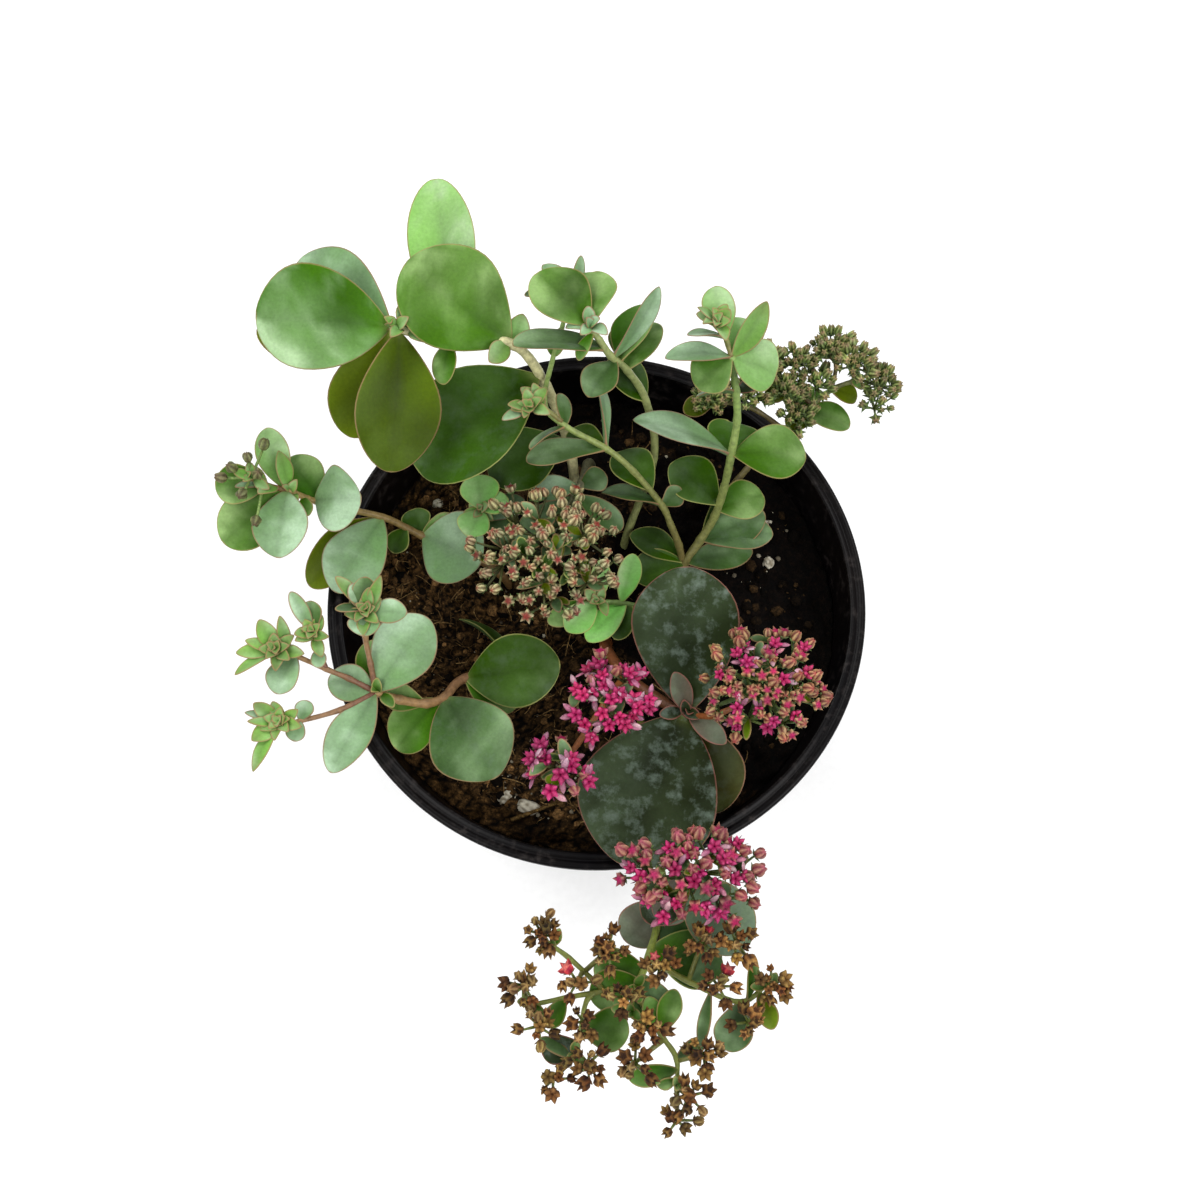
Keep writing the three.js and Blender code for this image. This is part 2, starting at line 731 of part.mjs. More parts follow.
// A closed core with a flower raised on the faces that look up most steeply, at most so many of them.
// A flower is as wide as its face at the foot, runs up to its rim and closes in a blunt point.
// No flower stands on a face that looks towards the corner numbered tail, which is drawn out to a stem.
function raised(core, kind, chance, most = Infinity, tail = -1) {
  const place = core.attributes.position
  const corners = Array.from({ length: place.count }, (_, k) => point(0, 0, 0).fromBufferAttribute(place, k))
  const vertices = corners.flatMap((p) => p.toArray())
  const triangles = []
  const put = (p) => {
    vertices.push(p.x, p.y, p.z)
    return vertices.length / 3 - 1
  }
  const faces = Array.from({ length: core.index.count / 3 }, (_, which) => {
    const feet = [0, 1, 2].map((k) => core.index.getX(3 * which + k))
    const [a, b, c] = feet.map((k) => corners[k])
    const out = b.clone().sub(a).cross(c.clone().sub(a)).normalize()
    return { which, feet, out, middle: a.clone().add(b).add(c).divideScalar(3) }
  })
  const free = ({ feet, out, middle }) => {
    if (tail < 0) return true
    return !feet.includes(tail) && corners[tail].clone().sub(middle).normalize().dot(out) < -FACE_AWAY
  }
  const rank = faces.filter((face) => face.out.z > FACE_RISE && free(face))
  rank.sort((one, other) => other.out.z - one.out.z)
  const chosen = new Set(rank.slice(0, most))
  for (const face of faces) {
    const { which, feet, out, middle } = face
    if (!chosen.has(face)) {
      triangles.push(...feet)
    } else {
      const flower = FLOWERS[kind(which)]
      const across = corners[feet[0]].clone().sub(middle).normalize()
      const length = flower.reach * (LEAST_REACH + MORE_REACH * chance())
      const centre = middle.clone().addScaledVector(out, length * flower.shoulder)
      const radius = Math.min(flower.spread, flower.room * clearance(middle, feet.map((k) => corners[k])))
      const rim = rimAbout(centre, across, out, radius, flower).map(put)
      const tip = put(middle.clone().addScaledVector(out, length))
      let [low, high] = [0, 0]
      while (low < 3 || high < flower.sides) {
        const [foot, edge] = [feet[low % 3], rim[high % flower.sides]]
        if ((low + 1) / 3 <= (high + 1) / flower.sides) {
          low += 1
          triangles.push(foot, feet[low % 3], edge)
        } else {
          high += 1
          triangles.push(foot, rim[high % flower.sides], edge)
          triangles.push(tip, edge, rim[high % flower.sides])
        }
      }
    }
  }
  return solid(new Float32Array(vertices), new Uint32Array(triangles))
}

// A three.js polyhedron with its corners merged, sized, moved a little by chance and set in place
function lump(geometry, [halfLength, halfWidth, depth], centre, roughness, chance) {
  const plain = geometry.clone()
  plain.deleteAttribute('normal')
  plain.deleteAttribute('uv')
  const merged = mergeVertices(plain, 1e-4)
  const place = merged.attributes.position
  for (let k = 0; k < place.count; k += 1) {
    const size = 1 + roughness * (chance() - 0.5)
    place.setXYZ(k, place.getX(k) * size, place.getY(k) * size, place.getZ(k) * size)
  }
  merged.scale(halfLength, halfWidth, depth)
  return merged.translate(centre.x, centre.y, centre.z)
}

// The place nearest to a target on any stem of a spray, above the soil
function nearest(shoots, target) {
  const places = shoots.flatMap(({ path }) => path.slice(1).map((end, i) => {
    const stretch = new THREE.Line3(point(...path[i]), point(...end))
    return stretch.closestPointToPoint(target, true, point(0, 0, 0))
  }))
  const near = places.filter((place) => place.z > SOIL_TOP)
  return near.reduce((best, place) => (place.distanceTo(target) < best.distanceTo(target) ? place : best))
}

// A cluster: a small knot with flowers on its upper faces, and its corner nearest to the stem drawn out to it
function cluster(shoots, kind, [x, y, z, flowers], chance) {
  const target = point(x, y, z)
  const start = nearest(shoots, target)
  const Shape = flowers > FEW_FLOWERS ? THREE.IcosahedronGeometry : THREE.OctahedronGeometry
  const size = KNOT[kind]
  const middle = point(x, y, z - size - KNOT_DROP)
  const core = lump(new Shape(1, 0).rotateZ(chance()), [size, size, size], middle, 0, chance)
  const place = core.attributes.position
  const gaps = Array.from({ length: place.count }, (_, k) => {
    return point(0, 0, 0).fromBufferAttribute(place, k).distanceTo(start)
  })
  const tail = gaps.indexOf(Math.min(...gaps))
  place.setXYZ(tail, start.x, start.y, start.z)
  return raised(core, () => kind, chance, flowers, tail)
}

// A spray or leafy stem as one body
function growth({ shoots, clusters = [], flower }, seed) {
  const chance = draws(seed)
  const sprays = clusters.map((entry) => cluster(shoots, flower, entry, chance))
  return joined([...shoots.flatMap(shoot), ...sprays])
}

// A round head: buds raised all over a low cushion of stalks, with an open star on some of every fourth
// face, which no two neighbours are
function head({ lobes, open, seed }, seats) {
  const chance = draws(seed)
  const parts = lobes.map(([x, y, z, halfLength, halfWidth, depth, detail]) => {
    const shape = new THREE.IcosahedronGeometry(1, detail).rotateZ(chance())
    const core = lump(shape, [halfLength, halfWidth, depth], point(x, y, z), LOBE_ROUGHNESS, chance)
    const kind = (which) => (detail === 0 || (which % 4 === 1 && chance() < open) ? 'star' : 'bud')
    return raised(core, kind, chance)
  })
  return joined(parts).subtract(joined(seats))
}

// Lathe profiles run from the axis and back to it, or close on themselves
function turned(profile, sides) {
  return fromGeometry(new THREE.LatheGeometry(profile.map(([r, z]) => new THREE.Vector2(r, z)), sides))
    .rotate([90, 0, 0])
}

// The thin blow-moulded wall leans out from the base to the lip
const wallRadius = (z) => BASE_RADIUS + ((RIM_RADIUS - LIP_WIDTH + WALL - BASE_RADIUS) * z) / POT_HEIGHT

// The pot: a flat underside, a leaning wall, a flat lip with a short turned-down skirt, and drain holes
function pot() {
  const lipBottom = POT_HEIGHT - WALL
  const profile = [
    [0, 0],
    [BASE_RADIUS - FOOT_ROUND, 0],
    [wallRadius(FOOT_ROUND), FOOT_ROUND],
    [wallRadius(lipBottom), lipBottom],
    [RIM_RADIUS - WALL, lipBottom],
    [RIM_RADIUS - WALL, POT_HEIGHT - SKIRT_DROP],
    [RIM_RADIUS - 0.4, POT_HEIGHT - SKIRT_DROP],
    [RIM_RADIUS, POT_HEIGHT - 1.2],
    [RIM_RADIUS - 0.8, POT_HEIGHT],
    [RIM_RADIUS - LIP_WIDTH, POT_HEIGHT],
    [wallRadius(FOOT_ROUND) - WALL, FOOT_ROUND + WALL],
    [BASE_RADIUS - FOOT_ROUND - WALL, WALL],
    [0, WALL],
  ]
  const drain = new THREE.BoxGeometry(20, DRAIN_WIDTH, DRAIN_HEIGHT * 2)
  const holes = Array.from({ length: DRAIN_HOLES }, (_, k) => {
    const angle = (2 * Math.PI * (k + 0.5)) / DRAIN_HOLES
    const placed = drain.clone().rotateZ(angle)
    return fromGeometry(placed.translate(BASE_RADIUS * Math.cos(angle), BASE_RADIUS * Math.sin(angle), 0))
  })
  return turned(profile, POT_SIDES).subtract(joined(holes))
}

// How far the soil stands above or below its mean height
function swell(x, y) {
  const [r, angle] = [Math.hypot(x, y), Math.atan2(y, x)]
  return SOIL_SWELL * Math.sin(r / 9 + 2 * Math.sin(angle * 2)) * Math.cos(angle * 3 + r / 14)
}

// The soil fills the pot to below the lip and swells a little in soft mounds
function soil(roots) {
  const bottom = WALL + SOIL_ROOM
  const inside = (z) => (wallRadius(z) - WALL) * Math.cos(Math.PI / POT_SIDES) - SOIL_ROOM
  const ring = (r, height) => Array.from({ length: SOIL_SIDES }, (_, k) => {
    const angle = (2 * Math.PI * k) / SOIL_SIDES
    const [x, y] = [r * Math.cos(angle), r * Math.sin(angle)]
    return point(x, y, height(x, y))
  })
  const rings = [
    ring(inside(FOOT_ROUND + WALL) - FOOT_ROUND, () => bottom),
    ring(inside(DRAIN_HEIGHT), () => DRAIN_HEIGHT),
    ring(inside(SOIL_TOP - 4), () => SOIL_TOP - 4),
    ...SOIL_RINGS.slice().reverse().map((r) => ring(r, (x, y) => SOIL_TOP + swell(x, y))),
  ]
  return skin(rings, point(0, 0, bottom), point(0, 0, SOIL_TOP)).subtract(joined(roots))
}

// A rough grain, and the dent it lies in when spare is above 0
function grain([x, y, length, width, turn], spare = 0) {
  const shape = new THREE.IcosahedronGeometry(1, 0)
  shape.scale(length / 2 + spare, width / 2 + spare, width * 0.4 + spare)
  shape.rotateZ(radians(turn))
  return fromGeometry(shape.translate(x, y, SOIL_TOP + swell(x, y) + GRAIN_LIFT))
}

const shoots = Object.values(STEMS).flatMap((stem) => stem.shoots)
const roots = shoots.filter(({ path }) => path[0][2] < SOIL_TOP - ROOT_DEPTH)
const sleeve = ({ path, thick }) => limb(path, thick, STEM_SIDES, GAP)
const grains = Object.values(PERLITE)

const plant = new THREE.Group()
plant.add(named('pot', pot(), 'pot'))
plant.add(named('soil', soil([...roots.map(sleeve), ...grains.map((entry) => grain(entry, GAP))]), 'soil'))
for (const [name, entry] of Object.entries(PERLITE)) plant.add(named(name, grain(entry), 'perlite'))
Object.entries(STEMS).forEach(([name, stem], which) => {
  plant.add(named(name, growth(stem, which + 5), stem.finish))
})
for (const [name, entry] of Object.entries(HEADS)) {
  const seats = shoots.filter((stem) => stem.head === name).map(sleeve)
  plant.add(named(name, head(entry, seats), entry.finish))
}

export default plant
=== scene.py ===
# %% [markdown]
# # A potted trailing stonecrop
# This lesson dresses the plain solids of a potted plant: a black nursery pot full of peat, a dozen leafy
# stems that lean out over its rim, round flower heads and two loose sprays. The solids give the places
# and the sizes. The finer surfaces here stand in their room, each worked out as whole arrays of points.

# %% Load the frame
import math

import bpy
import numpy as np
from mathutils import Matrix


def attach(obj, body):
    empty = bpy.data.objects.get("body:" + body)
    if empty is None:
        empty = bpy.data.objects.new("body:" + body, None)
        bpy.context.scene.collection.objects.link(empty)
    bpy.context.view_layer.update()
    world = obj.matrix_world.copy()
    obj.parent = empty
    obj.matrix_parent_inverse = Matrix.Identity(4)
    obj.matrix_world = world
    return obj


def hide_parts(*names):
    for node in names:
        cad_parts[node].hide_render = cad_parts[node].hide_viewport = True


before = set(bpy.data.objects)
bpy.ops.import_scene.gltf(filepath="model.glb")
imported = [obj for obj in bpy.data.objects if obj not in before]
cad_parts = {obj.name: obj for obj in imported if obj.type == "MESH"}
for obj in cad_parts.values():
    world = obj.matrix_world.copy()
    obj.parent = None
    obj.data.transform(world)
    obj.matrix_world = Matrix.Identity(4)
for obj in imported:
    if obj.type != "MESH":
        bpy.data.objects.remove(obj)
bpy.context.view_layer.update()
MM = 0.001

# %% [markdown]
# The plant is seen from almost straight above, a little from the front, through a lens of ordinary width.
# A camera could be aimed at a point with a constraint. This one is turned about X alone, which keeps the
# upright direction upright in the picture and needs one angle.

# %% The camera
CAMERA_PLACE = (0.00108, -0.11321, 0.51592)
CAMERA_RISE = 72.351
FIELD_OF_VIEW = 53

camera_data = bpy.data.cameras.new("camera")
camera_data.sensor_width = 36
camera_data.lens = camera_data.sensor_width / 2 / math.tan(math.radians(FIELD_OF_VIEW / 2))
camera = bpy.data.objects.new("camera", camera_data)
camera.location = CAMERA_PLACE
camera.rotation_euler = (math.radians(90 - CAMERA_RISE), 0, 0)
bpy.context.scene.collection.objects.link(camera)
bpy.context.scene.camera = camera
print("lens", round(camera_data.lens, 1), "mm")

# %% [markdown]
# Colours are written as a screen shows them, because that is how they are picked and compared. The
# shaders want amounts of light, so one function undoes the screen's curve for all of them.

# %% Colours
def linear(colour):
    """The amounts of light of a screen colour such as '#8fb58a', with the screen's curve undone."""
    screen = np.array([int(colour[i:i + 2], 16) for i in (1, 3, 5)]) / 255
    return np.where(screen <= 0.04045, screen / 12.92, ((screen + 0.055) / 1.055) ** 2.4)


def rgba(colour):
    """The same for a socket, which wants four numbers."""
    return (*linear(colour), 1)

print("mid grey lets back", linear("#808080").round(3)[0], "of the light")

# %% [markdown]
# A plant shop's white table is lit from all sides through cloth. A bright white world alone would do it,
# but then every level surface mirrors white and the black pot turns grey. So the world is dim, and four
# broad lamps stand round it, half way up the sky. What faces straight up stays dark, and what leans to a
# lamp gets a soft waxy sheen.

# %% The light
WORLD_WHITE = 0.42
LAMP_SIZE = 0.7
LAMPS_AIM = (0, 0, 0.15)
LAMPS = {
    "front right lamp": ((0.62, -0.55, 1.0), 8.0),
    "front left lamp": ((-0.66, -0.5, 1.0), 6.4),
    "back right lamp": ((0.55, 0.62, 1.05), 5.6),
    "back left lamp": ((-0.6, 0.58, 1.05), 6.2),
}

bpy.context.scene.view_settings.view_transform = "Standard"
world = bpy.data.worlds.new("dim white surrounding")
world.use_nodes = True
world.node_tree.nodes["Background"].inputs["Color"].default_value = (1, 1, 1, 1)
world.node_tree.nodes["Background"].inputs["Strength"].default_value = WORLD_WHITE
bpy.context.scene.world = world
for name, (place, power) in LAMPS.items():
    data = bpy.data.lights.new(name, "AREA")
    data.size = LAMP_SIZE
    data.energy = power
    lamp = bpy.data.objects.new(name, data)
    lamp.location = place
    away = np.array(place) - LAMPS_AIM
    turn = math.atan2(away[1], away[0]) + math.pi / 2
    lamp.rotation_euler = (math.acos(away[2] / np.linalg.norm(away)), 0, turn)
    bpy.context.scene.collection.objects.link(lamp)
print(len(LAMPS), "lamps of", sum(power for _, power in LAMPS.values()), "watts in all")

# %% [markdown]
# Every material is a few nodes about one shader. Nodes could be added by hand with a line for each link
# and value. One small function that adds a node, sets what it is told and links the rest keeps each
# finish as short as a list of what the real surface has.

# %% A helper for nodes
def add(tree, kind, settings=(), stops=(), **inputs):
    """A new node. settings are its own values, and stops the places and colours of a colour ramp. inputs
    are sockets by name, or by number as in i0. Each is linked from a node or a socket, or set to a
    value."""
    node = tree.nodes.new(kind)
    for key, value in dict(settings).items():
        setattr(node, key, value)
    if stops:
        marks = node.color_ramp.elements
        marks[0].position, marks[-1].position = stops[0][0], stops[-1][0]
        for place, _ in stops[1:-1]:
            marks.new(place)
        for mark, (_, colour) in zip(marks, stops):
            mark.color = rgba(colour) if isinstance(colour, str) else (colour, colour, colour, 1)
    for key, value in inputs.items():
        named = [s for s in node.inputs if s.enabled and s.name == key.replace("_", " ")]
        socket = named[0] if named else node.inputs[int(key[1:])]
        if isinstance(value, bpy.types.Node):
            value = next(s for s in value.outputs if s.enabled)
        if isinstance(value, bpy.types.NodeSocket):
            tree.links.new(value, socket)
        else:
            socket.default_value = rgba(value) if isinstance(value, str) else value
    return node


def finish_of(name):
    """A new material, its empty tree, and the place on the object that its patterns are fixed to."""
    material = bpy.data.materials.new(name)
    material.use_nodes = True
    tree = material.node_tree
    tree.nodes.clear()
    return material, tree, add(tree, "ShaderNodeTexCoord").outputs["Object"]


RGB = {"data_type": "RGBA"}
TIMES = {"data_type": "RGBA", "blend_type": "MULTIPLY"}
PRODUCT = {"operation": "MULTIPLY"}

# %% [markdown]
# The table top is card with a matt white coat. A plane that ends in view would show its edge from the
# side, so it is far wider than the plant. Its coat is drawn with the faint cloudiness of paper fibre, 3
# mm across.

# %% The white table
TABLE_HALF = 3.0
card, tree, place = finish_of("matt white card")
fibre = add(tree, "ShaderNodeTexNoise", Vector=place, Scale=1 / (3 * MM), Detail=2.0)
white = add(tree, "ShaderNodeValToRGB", stops=[(0.3, "#f8f8f8"), (0.7, "#fcfcfc")], Fac=fibre)
shader = add(tree, "ShaderNodeBsdfPrincipled", Base_Color=white, Roughness=0.9)
add(tree, "ShaderNodeOutputMaterial", Surface=shader)
corners = [(TABLE_HALF * x, TABLE_HALF * y, 0) for x, y in ((-1, -1), (1, -1), (1, 1), (-1, 1))]
table = bpy.data.meshes.new("table")
table.from_pydata(corners, [], [(0, 1, 2, 3)])
table.materials.append(card)
table_top = bpy.data.objects.new("table_top", table)
bpy.context.scene.collection.objects.link(table_top)
print("table", 2 * TABLE_HALF, "m wide")

# %% [markdown]
# Nearly everything on a plant is a closed skin: rings of points between one point at the start and one at
# the end. A leaf, a stem, a petal and a bud differ only in their rings. So one function makes the faces
# of any number of skins at once, and a colour is kept at every point beside its place.

# %% Closed skins
def poled(grid):
    """One entry a point from a grid skins x rows x sides, whose first and last rows are one point each."""
    skins = len(grid)
    middle = grid[:, 1:-1].reshape(skins, -1, *grid.shape[3:])
    return np.concatenate([grid[:, :1, 0], middle, grid[:, -1:, 0]], axis=1).reshape(-1, *grid.shape[3:])


def skin(grid, tone, spot=(0, 0, 0)):
    """Closed skins from a grid skins x rows x sides of points in mm. Each ring turns anticlockwise about
    the way from start to end, and the faces run from each point to its neighbours in its ring and in the
    next. tone is a colour a point, and spot three more numbers a point for the finish to read."""
    skins, rows, sides = grid.shape[:3]
    step = (rows - 2) * sides + 2
    row, side = np.meshgrid(np.arange(rows - 3), np.arange(sides), indexing="ij")
    here, beside = 1 + row * sides + side, 1 + row * sides + (side + 1) % sides
    quads = np.stack([here, beside, beside + sides, here + sides], -1).reshape(-1, 4)
    side = np.arange(sides)
    near, near_next = 1 + side, 1 + (side + 1) % sides
    far, far_next = near + step - 2 - sides, near_next + step - 2 - sides
    first, last = np.zeros_like(side), np.full_like(side, step - 1)
    ends = np.concatenate([np.stack([first, near_next, near], -1), np.stack([last, far, far_next], -1)])
    offset = step * np.arange(skins)[:, None, None]
    return {
        "points": poled(grid),
        "quads": (quads + offset).reshape(-1, 4),
        "triangles": (ends + offset).reshape(-1, 3),
        "tone": poled(np.broadcast_to(tone, grid.shape)),
        "spot": poled(np.broadcast_to(spot, grid.shape)),
    }

print("a skin of 4 rings of 6 has", len(skin(np.zeros((1, 6, 6, 3)), 0)["points"]), "points")

# %% [markdown]
# A mesh could be filled face by face. Here it takes whole arrays through foreach_set, which is hundreds
# of times faster. Each finished piece rides on the pot and hides the solids that it stands for.


def together(skins):
    """Several sets of skins as one, with the later corners counted on from the earlier."""
    start = np.cumsum([0] + [len(s["points"]) for s in skins])
    whole = {key: np.concatenate([s[key] for s in skins]) for key in ("points", "tone", "spot")}
    for key in ("quads", "triangles"):
        whole[key] = np.concatenate([s[key] + at for s, at in zip(skins, start)])
    return whole


def piece(name, skins, finish, slot, *nodes):
    """A finished piece from its skins in mm: a mesh in metres, its finish, its slot, which is not used,
    and what it stands for."""
    whole = together(skins)
    corners = np.concatenate([whole["quads"].ravel(), whole["triangles"].ravel()]).astype(np.int32)
    fours, threes = len(whole["quads"]), len(whole["triangles"])
    starts = np.concatenate([4 * np.arange(fours), 4 * fours + 3 * np.arange(threes)]).astype(np.int32)
    mesh = bpy.data.meshes.new(name)
    mesh.vertices.add(len(whole["points"]))
    mesh.vertices.foreach_set("co", (whole["points"] * MM).astype(np.float32).ravel())
    mesh.loops.add(len(corners))
    mesh.loops.foreach_set("vertex_index", corners)
    mesh.polygons.add(len(starts))
    mesh.polygons.foreach_set("loop_start", starts)
    mesh.update(calc_edges=True)
    mesh.polygons.foreach_set("use_smooth", np.ones(len(starts), bool))
    tone = mesh.attributes.new("tone", "FLOAT_COLOR", "POINT")
    colours = np.concatenate([whole["tone"], np.ones((len(whole["tone"]), 1))], axis=1)
    tone.data.foreach_set("color", np.clip(colours, 0, 1).astype(np.float32).ravel())
    spot = mesh.attributes.new("spot", "FLOAT_VECTOR", "POINT")
    spot.data.foreach_set("vector", whole["spot"].astype(np.float32).ravel())
    mesh.materials.append(finish)
    shown = bpy.data.objects.new(name, mesh)
    bpy.context.scene.collection.objects.link(shown)
    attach(shown, "root")
    if nodes:
        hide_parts(*nodes)
    print(f"{name}: {2 * fours + threes} triangles")
    return shown

# %% [markdown]
# No two leaves are alike, but the plant has to grow the same way every time. So each piece starts its own
# draws from a number. Soft relief could come from a noise library. Cosine waves in chance directions,
# added up, do the same in one line and give a value at any point.

# %% Chance and relief
def unit(vectors):
    """Each vector at length one."""
    return vectors / np.linalg.norm(vectors, axis=-1, keepdims=True)


def waves(points, length, seed, count=14):
    """Soft relief, near -1 to 1: the sum of many cosine waves in chance directions, about one length
    long."""
    chance = np.random.default_rng(seed)
    ways = unit(chance.normal(size=(count, points.shape[-1])))
    ways *= 2 * np.pi / length * chance.uniform(0.7, 1.4, (count, 1))
    return np.cos(points @ ways.T + chance.uniform(0, 2 * np.pi, count)).sum(-1) * (1.4 / count) ** 0.5


def blend(low, high, share):
    """Between two colours or values, by a share from 0 to 1."""
    return low + (high - low) * np.clip(share, 0, 1)

print("relief at the middle", waves(np.zeros(3), 1, 1).round(2))

# %% [markdown]
# ## The pot
# A nursery pot is blown thin in a mould: near black, with a flat lip whose outer edge rolls over into a
# bead. A bevelled cylinder could stand for it, but the lip, bead and skirt are what the eye sees. So its
# outline is drawn point by point, with small arcs at the bends, and turned about the upright axis.

# %% The outline of the pot
RIM_RADIUS, POT_HEIGHT, BASE_RADIUS = 82.5, 165, 66
WALL, LIP_WIDTH, SKIRT_DROP, FOOT_ROUND = 1.6, 5, 8, 3
BEAD, GROOVE, LIP_EDGE, UNDER_LIP, SKIRT_TAPER = 1.2, 0.5, 0.8, 0.7, 0.5
POT_SIDES = 192


def wall_radius(z):
    """The wall's outer radius at a height: it leans out evenly from the base to the lip."""
    return BASE_RADIUS + (RIM_RADIUS - LIP_WIDTH + WALL - BASE_RADIUS) * z / POT_HEIGHT


def bend(r, z, radius, start, end, count=6):
    """Places on an arc of the outline about the place r, z, between two angles in degrees."""
    angle = np.radians(np.linspace(start, end, count))
    return np.stack([r + radius * np.cos(angle), z + radius * np.sin(angle)], -1)


lip_bottom = POT_HEIGHT - WALL
profile = np.concatenate([
    [(0, 0), (40, 0)],
    bend(BASE_RADIUS - FOOT_ROUND, FOOT_ROUND, FOOT_ROUND, -90, -3, 8),
    [(wall_radius(z), z) for z in np.linspace(8, lip_bottom - 1, 24)],
    bend(wall_radius(lip_bottom) + UNDER_LIP, lip_bottom - UNDER_LIP, UNDER_LIP, 180, 90, 5),
    [(RIM_RADIUS - WALL - SKIRT_TAPER, lip_bottom), (RIM_RADIUS - WALL, POT_HEIGHT - SKIRT_DROP)],
    [(RIM_RADIUS - SKIRT_TAPER, POT_HEIGHT - SKIRT_DROP)],
    bend(RIM_RADIUS - BEAD, POT_HEIGHT - BEAD, BEAD, 0, 110, 8),
    bend(RIM_RADIUS - BEAD - 1.4, POT_HEIGHT - 0.1, GROOVE, -20, -160, 5),
    [(RIM_RADIUS - LIP_WIDTH + 1, POT_HEIGHT - 0.05)],
    bend(RIM_RADIUS - LIP_WIDTH + LIP_EDGE, POT_HEIGHT - LIP_EDGE, LIP_EDGE, 90, 180, 5),
    [(wall_radius(z) - WALL, z) for z in np.linspace(POT_HEIGHT - 4, FOOT_ROUND + WALL, 12)],
    [(BASE_RADIUS - FOOT_ROUND - WALL, WALL), (30, WALL), (0, WALL)],
])
turn = 2 * np.pi * np.arange(POT_SIDES) / POT_SIDES
radius, height = profile[:, :1], np.repeat(profile[:, 1:], POT_SIDES, 1)
round_pot = np.stack([radius * np.cos(turn), radius * np.sin(turn), height], -1)[None]
print(len(profile), "places on the outline, lip", LIP_WIDTH, "mm wide")

# %% [markdown]
# The pot is polyethylene filled with recycled stock and blown in a mould. It is near black and satin,
# with a fine pebble of about 1 mm from the mould, scuffed grey where pots rub together in a stack, and
# dusted brown by the soil in patches of 15 to 30 mm. Scratches could be drawn one by one. Two noises
# multiplied give scuffs that come in groups, as rubbing does.

# %% The plastic of the pot
plastic, tree, place = finish_of("blow-moulded black polyethylene")
fine = add(tree, "ShaderNodeTexNoise", Vector=place, Scale=1 / (3.5 * MM), Detail=6.0, Roughness=0.65)
broad = add(tree, "ShaderNodeTexNoise", Vector=place, Scale=1 / (14 * MM), Detail=3.0)
scuff = add(tree, "ShaderNodeValToRGB", stops=[(0.52, 0.0), (0.8, 1.0)], Fac=fine)
group = add(tree, "ShaderNodeValToRGB", stops=[(0.4, 0.0), (0.7, 1.0)], Fac=broad)
wear = add(tree, "ShaderNodeMath", PRODUCT, i0=scuff, i1=group)
dusty = add(tree, "ShaderNodeTexNoise", Vector=place, Scale=1 / (30 * MM), Detail=2.0)
black = add(tree, "ShaderNodeValToRGB", stops=[(0.3, "#050406"), (0.7, "#0d0908")], Fac=dusty)
coat = add(tree, "ShaderNodeMix", RGB, Factor=wear, A=black, B="#443e3c")
shine = add(tree, "ShaderNodeValToRGB", stops=[(0.0, 0.34), (1.0, 0.6)], Fac=wear)
cells = add(tree, "ShaderNodeTexNoise", Vector=place, Scale=1 / (0.9 * MM), Detail=3.0)
pebble = add(tree, "ShaderNodeBump", Strength=0.25, Distance=0.12 * MM, Height=cells)
shader = add(tree, "ShaderNodeBsdfPrincipled", Base_Color=coat, Roughness=shine, Normal=pebble,
             Specular_IOR_Level=0.11)
add(tree, "ShaderNodeOutputMaterial", Surface=shader)

# %% [markdown]
# Six notches round the foot let water out. They could be gaps left in the grid, but a notch cuts across
# the rounded foot. A Boolean with six boxes cuts them cleanly, and its result is taken as the pot's own
# mesh.

# %% Turn the pot and cut its drain notches
DRAIN_HOLES, DRAIN_WIDTH, DRAIN_HEIGHT = 6, 12, 9
pot = piece("pot_shell", [skin(round_pot, linear("#151216"))], plastic, "pot_plastic", "pot")
square = np.array([(-1, -1), (1, -1), (1, 1), (-1, 1)]) * (10, DRAIN_WIDTH / 2)
notches = []
for k in range(DRAIN_HOLES):
    angle = 2 * np.pi * (k + 0.5) / DRAIN_HOLES
    ways = np.array([(np.cos(angle), np.sin(angle)), (-np.sin(angle), np.cos(angle))])
    base = square @ ways + BASE_RADIUS * ways[0]
    notches.append(np.concatenate([np.c_[base, np.full(4, z)] for z in (-DRAIN_HEIGHT, DRAIN_HEIGHT)]))
box = np.array([(3, 2, 1, 0), (4, 5, 6, 7), (0, 1, 5, 4), (1, 2, 6, 5), (2, 3, 7, 6), (3, 0, 4, 7)])
box_faces = np.concatenate([box + 8 * k for k in range(DRAIN_HOLES)])
cutter_mesh = bpy.data.meshes.new("notches")
cutter_mesh.from_pydata((np.concatenate(notches) * MM).tolist(), [], box_faces.tolist())
cutter = bpy.data.objects.new("notches", cutter_mesh)
bpy.context.scene.collection.objects.link(cutter)
cut = pot.modifiers.new("drain notches", "BOOLEAN")
cut.operation = "DIFFERENCE"
cut.object = cutter
bpy.context.view_layer.update()
cut_mesh = bpy.data.meshes.new_from_object(pot.evaluated_get(bpy.context.evaluated_depsgraph_get()))
pot.modifiers.clear()
pot.data = cut_mesh
bpy.data.objects.remove(cutter)
print("pot with notches:", len(pot.data.polygons), "faces")

# %% [markdown]
# ## The soil
# Peat with bark, fibre and perlite fills the pot to two centimetres below the lip. A displaced disc would
# do for its top, but the bed has to fill the pot down to its base as one closed body. So it is a skin
# too, whose rings run up the wall and then in over the top, where mounds, clods and grit are added to
# their height.

# %% The bed of soil
SOIL_TOP, SOIL_SWELL = 145, 1.6
SOIL_RINGS, SOIL_SIDES = 92, 340
SOIL_REACH = 70
SOIL_GAP, LOW_GAP = 0.15, 0.3
# The way towards the dry, lit side: the peat is painted lighter towards the left front, with painted shade
# away from it.
DRY_LIT_WAY = (-0.94, -0.34)


def swell(x, y):
    """The mounds: 1.6 sin(r/9 + 2 sin 2a) cos(3a + r/14) mm, at a place of radius r and angle a."""
    r, a = np.hypot(x, y), np.arctan2(y, x)
    return SOIL_SWELL * np.sin(r / 9 + 2 * np.sin(2 * a)) * np.cos(3 * a + r / 14)


